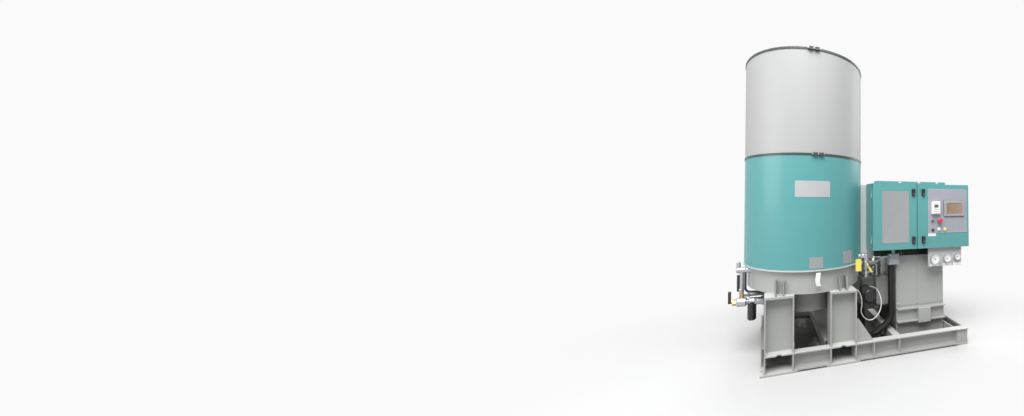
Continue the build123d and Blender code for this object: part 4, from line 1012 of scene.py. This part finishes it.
class BOILER_OT_gauges(BoilerOperator, bpy.types.Operator):
    """Fits dials, ticks and needles in the gauge cases and the blank labels below"""

    bl_idname = "boiler.gauges"
    bl_label = "Gauges"

    # Place, radius and the needle's angle of each gauge
    gauges = ((1.297, 0.868, 0.05, -60), (1.444, 0.871, 0.042, -120), (1.569, 0.881, 0.034, -100))
    # Left and right side of each label
    labels = ((1.25, 1.355), (1.405, 1.508), (1.53, 1.634))
    label_height = 0.026
    first_tick = -135
    tick_step = 27
    tick_count = 11

    def make(self, sizes, colours):
        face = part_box("pressure_gauges")[0][1] + 0.005
        dials = []
        marks = []
        for x, z, radius, reading in self.gauges:
            dial = rod((x, face, z), (x, face - 0.0016, z), radius - 0.0062, sides=48)
            step_face(dial, toward_viewer, inset=0.002, out=-0.0006)
            dials.append(dial)
            marks.append(self.ticks(radius, Matrix.Translation((x, face - 0.001, z))))
            marks.append(self.needle(radius, reading, Matrix.Translation((x, face - 0.002, z))))
        dressed(joined(dials), "gauge_dials", finish_of("white moulding"))
        dressed(joined(marks), "gauge_marks", finish_of("latch moulding"))
        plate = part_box("gauge_plate")[0]
        front = plate[1]
        foot = plate[2] + 0.003
        strips = []
        for left, right in self.labels:
            low = (left, front - 0.001, foot)
            high = (right, front, foot + self.label_height)
            strips.append(sheet_plate(low, high, corner=0.002, border=0.0015, sink=0.0002))
        blank = moulded("blank label", (0.95, 0.95, 0.94), 0.4)
        dressed(joined(strips), "gauge_labels", blank)

    def ticks(self, radius, place):
        """Plain ticks round a dial."""
        tick = block((-0.0005, -0.0006, radius * 0.62), (0.0005, 0.0006, radius * 0.78))
        soften(tick, upward, width=0.0002, segments=1)
        turns = [math.radians(self.first_tick + self.tick_step * step) for step in range(self.tick_count)]
        return copies(tick, [place @ Matrix.Rotation(turn, 4, "Y") for turn in turns])

    def needle(self, radius, reading, place):
        """A tapered needle on a round hub."""
        hub = rod((0, 0, 0), (0, -0.002, 0), radius * 0.1, sides=16)
        soften(hub, toward_viewer, width=0.0005)
        hand = block((-0.0012, -0.0015, -radius * 0.2), (0.0012, -0.0005, radius * 0.66))
        choose(hand, faces_along(upward))
        bpy.ops.transform.resize(value=(0.2, 1, 1))
        needle = joined([hub, hand])
        needle.data.transform(place @ Matrix.Rotation(math.radians(reading), 4, "Y"))
        return needle


class BOILER_OT_bolts(BoilerOperator, bpy.types.Operator):
    """Sets the bolts of the cabinet, pedestal, pump and flue, with the lid and cover that they hold"""

    bl_idname = "boiler.bolts"
    bl_label = "Bolts"

    # Across and level of the bolts on the cover plates of the pedestal
    cover_bolts = (
        (0.969, 0.727),
        (1.205, 0.722),
        (0.935, 0.637),
        (1.15, 0.4),
        (1.46, 0.727),
        (1.46, 0.4),
        (0.935, 0.4),
    )
    valve_heads = (0.65, 0.746, 0.842)

    def make(self, sizes, colours):
        radius = sizes.bolt_radius
        self.steel = finish_of("hinge plating")
        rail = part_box("cabinet_top_rail")[0][1]
        self.group("top_rail_bolts", radius * 1.1, grid((0.939, 1.161, 1.381), rail, (1.662,)), self.steel)
        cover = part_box("pedestal_covers")[0][1]
        places = [((x, cover, z), toward_viewer) for x, z in self.cover_bolts]
        places += grid((0.925, 1.46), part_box("pedestal")[0][1], (0.151,))
        zinc = plated_steel("dull zinc", (0.52, 0.53, 0.52), 0.6)
        self.group("pedestal_bolts", radius * 0.7, places, zinc)
        self.pump(radius)
        self.junction_box(sizes.screw_radius)
        self.rear_and_top(radius)

    def group(self, name, radius, places, material, slot="hinge_steel"):
        dressed(set_out(hexagon_bolt(radius), places), name, material)

    def pump(self, radius):
        """Bolts of the pump's crank cover and side, and of its valve heads."""
        head = 0.643
        low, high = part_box("feed_pump")
        places = []
        for x in (high[0] - 0.135, high[0] - 0.015):
            places += grid((x,), low[1], (0.375, 0.5, 0.625))
            places.append(((x, low[1] + 0.016, head), upward))
        places += grid((0.61, 0.7), -0.098, (head,), upward)
        places += grid((low[0] + 0.016,), -0.07, (0.46, 0.6))
        self.group("pump_bolts", radius * 0.8, places, finish_of("pump enamel"), "pump_grey")
        places = []
        for x in self.valve_heads:
            places += ring_of_places((x, 0.038, 0.747), count=6, radius=0.042)
        self.group("pump_head_bolts", 0.0024, places, self.steel)

    def junction_box(self, radius):
        """Lid of the junction box with a screw in each corner."""
        margin = 0.004
        low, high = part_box("junction_box")
        front = low[1]
        face = front - 0.004
        lid_low = (low[0] + margin, face, 0.823)
        lid_high = (high[0] - margin, front, 0.927)
        lid = sheet_plate(lid_low, lid_high, corner=0.008, border=0.006, sink=0.001)
        dressed(lid, "junction_lid", finish_of("junction box enamel"))
        places = grid((low[0] + 0.012, high[0] - 0.012), face, (0.831, 0.919))
        dressed(set_out(cross_screw(radius), places), "junction_screws", self.steel)

    def rear_and_top(self, radius):
        """Bolts of the cabinet's back plate, the pedestal's bolted rear cover and the bolts of the flue."""
        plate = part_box("back_plate")[1][1]
        places = grid((0.64, 0.86, 1.08, 1.3, 1.52), plate, (1.03, 1.6), behind)
        self.group("back_plate_bolts", radius * 0.8, places, self.steel)
        margin = 0.035
        sink = 0.0008
        pedestal_low, pedestal_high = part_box("pedestal")
        low = (pedestal_low[0] + margin, pedestal_high[1], 0.13)
        high = (pedestal_high[0] - margin, pedestal_high[1] + 0.003, 0.865)
        cover = sheet_plate(low, high, corner=0.012, border=0.006, sink=sink, outward=behind)
        dressed(cover, "pedestal_rear_cover", finish_of("skid enamel"))
        places = grid((low[0] + 0.02, high[0] - 0.02), high[1] - sink, (0.15, 0.5, 0.845), behind)
        self.group("pedestal_rear_bolts", radius * 0.7, places, self.steel)
        foot = (0, 0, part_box("top_cover")[1][2] + 0.01)
        places = ring_of_places(foot, count=12, radius=0.215, start=math.radians(15))
        self.group("flue_bolts", radius * 0.6, places, self.steel)


class BOILER_OT_beam_caps(BoilerOperator, bpy.types.Operator):
    """Lays a cap plate over both ends of the end beam"""

    bl_idname = "boiler.beam_caps"
    bl_label = "End beam caps"

    def make(self, sizes, colours):
        lip = 0.016
        length = 0.08
        low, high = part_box("end_beam")
        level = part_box("side_rails")[1][2]
        caps = []
        for end in (low[1] - lip, high[1] + lip - length):
            cap = block((low[0], end, high[2]), (high[0] + lip / 4, end + length, level))
            soften(cap, upward, width=0.002)
            caps.append(cap)
        dressed(joined(caps), "end_beam_caps", finish_of("skid enamel"))


class BOILER_OT_pipe_fittings(BoilerOperator, bpy.types.Operator):
    """Fits elbows, unions, the pilot pipe and the yellow tag on the pipes"""

    bl_idname = "boiler.pipe_fittings"
    bl_label = "Pipe fittings"

    slant = Vector((0.177, 0.27, 0)).normalized()
    # Corner, first leg, second leg and radius of each elbow
    corners = (
        ((0.583, -0.31, 0.915), -upward, -along_skid, 0.0262),
        ((0.788, -0.08, 0.79), -upward, -along_skid, 0.022),
        ((0.583, -0.31, 0.715), upward, slant, 0.0188),
        ((0.76, -0.04, 0.715), -upward, -slant, 0.0188),
    )
    # Place, direction, radius and length of each union nut
    unions = (
        ((0.583, -0.31, 0.868), upward, 0.034, 0.02),
        ((0.583, -0.31, 0.79), upward, 0.029, 0.022),
        ((0.65, -0.08, 0.79), along_skid, 0.029, 0.03),
        ((0.788, -0.08, 0.66), upward, 0.029, 0.026),
        ((0.76, -0.04, 0.655), upward, 0.025, 0.02),
        ((0.53, -0.31, 0.915), along_skid, 0.034, 0.024),
        ((-0.479, -0.2, 0.526), along_skid, 0.0385, 0.016),
        ((-0.608, -0.2, 0.642), upward, 0.026, 0.022),
        ((-0.575, -0.2, 0.824), along_skid, 0.033, 0.014),
    )
    spindles = (((0.583, -0.37, 0.831), toward_viewer), ((-0.637, -0.2, 0.892), upward))

    def make(self, sizes, colours):
        steel = finish_of("pipe plating")
        elbows = []
        for corner, leg, across, radius in self.corners:
            elbow = pipe_elbow(radius, bend=radius * 1.35)
            side = (-leg).cross(across)
            turn = Matrix((across, side, -leg)).transposed().to_4x4()
            elbow.data.transform(Matrix.Translation(corner) @ turn)
            elbows.append(elbow)
        dressed(joined(elbows), "pipe_elbows", steel)
        nuts = [union_nut(*union) for union in self.unions]
        dressed(joined(nuts), "pipe_unions", steel)
        pilot = rod((-0.592, -0.2, 0.586), (-0.345, -0.2, 0.586), radius=0.012)
        soften(pilot, -along_skid, width=0.002)
        pieces = [pilot, union_nut((-0.545, -0.2, 0.586), along_skid, radius=0.018, length=0.018)]
        dressed(joined(pieces), "pilot_pipe", finish_of("skid enamel"))
        low = (0.443, -0.4155, 0.786)
        high = (0.502, -0.414, 0.906)
        tag = sheet_plate(low, high, corner=0.006, border=0.004, sink=0.0004)
        dressed(tag, "yellow_tag", finish_of("yellow sleeve"))
        nuts = set_out(hexagon_bolt(radius=0.008), self.spindles)
        dressed(nuts, "spindle_nut", finish_of("hinge plating"))


class BOILER_OT_motor_grille(BoilerOperator, bpy.types.Operator):
    """Adds the ringed air inlet of the motor cowl"""

    bl_idname = "boiler.motor_grille"
    bl_label = "Motor grille"

    def make(self, sizes, colours):
        x = 0.65
        z = 0.482
        relief = 0.0015
        smallest_ring = 0.0006
        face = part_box("pump_motor")[0][1]
        grille = rod((x, face, z), (x, face - 0.002, z), radius=0.056, sides=40)
        front = faces_along(toward_viewer)
        for out in (relief, -relief, relief, -relief, relief):
            choose(grille, lambda part: front(part) and part.calc_area() > smallest_ring)
            bpy.ops.mesh.inset(thickness=0.0085, depth=0)
            bpy.ops.mesh.extrude_region_move(TRANSFORM_OT_translate={"value": (0, out, 0)})
        dressed(grille, "motor_grille", finish_of("motor enamel"))


operators = (
    BOILER_OT_stage,
    BOILER_OT_finishes,
    BOILER_OT_cable,
    BOILER_OT_casing_plates,
    BOILER_OT_clamps,
    BOILER_OT_doors,
    BOILER_OT_instruments,
    BOILER_OT_gauges,
    BOILER_OT_bolts,
    BOILER_OT_beam_caps,
    BOILER_OT_pipe_fittings,
    BOILER_OT_motor_grille,
)


class BOILER_PT_sidebar(bpy.types.Panel):
    """Lists the boiler's settings and steps"""

    bl_idname = "BOILER_PT_sidebar"
    bl_label = "Steam boiler"
    bl_space_type = "VIEW_3D"
    bl_region_type = "UI"
    bl_category = "Boiler"

    def draw(self, context):
        for group in (context.scene.boiler_sizes, context.scene.boiler_colours):
            for key in group.__annotations__:
                self.layout.prop(group, key)
        for operator in operators:
            self.layout.operator(operator.bl_idname)


classes = (BoilerSizes, BoilerColours, *operators, BOILER_PT_sidebar)


def register():
    for each in classes:
        bpy.utils.register_class(each)
    bpy.types.Scene.boiler_sizes = PointerProperty(type=BoilerSizes)
    bpy.types.Scene.boiler_colours = PointerProperty(type=BoilerColours)


def unregister():
    del bpy.types.Scene.boiler_colours
    del bpy.types.Scene.boiler_sizes
    for each in reversed(classes):
        bpy.utils.unregister_class(each)


def main():
    register()
    for operator in operators:
        group, name = operator.bl_idname.split(".")
        getattr(getattr(bpy.ops, group), name)()
    begin()


if __name__ == "__main__":
    main()
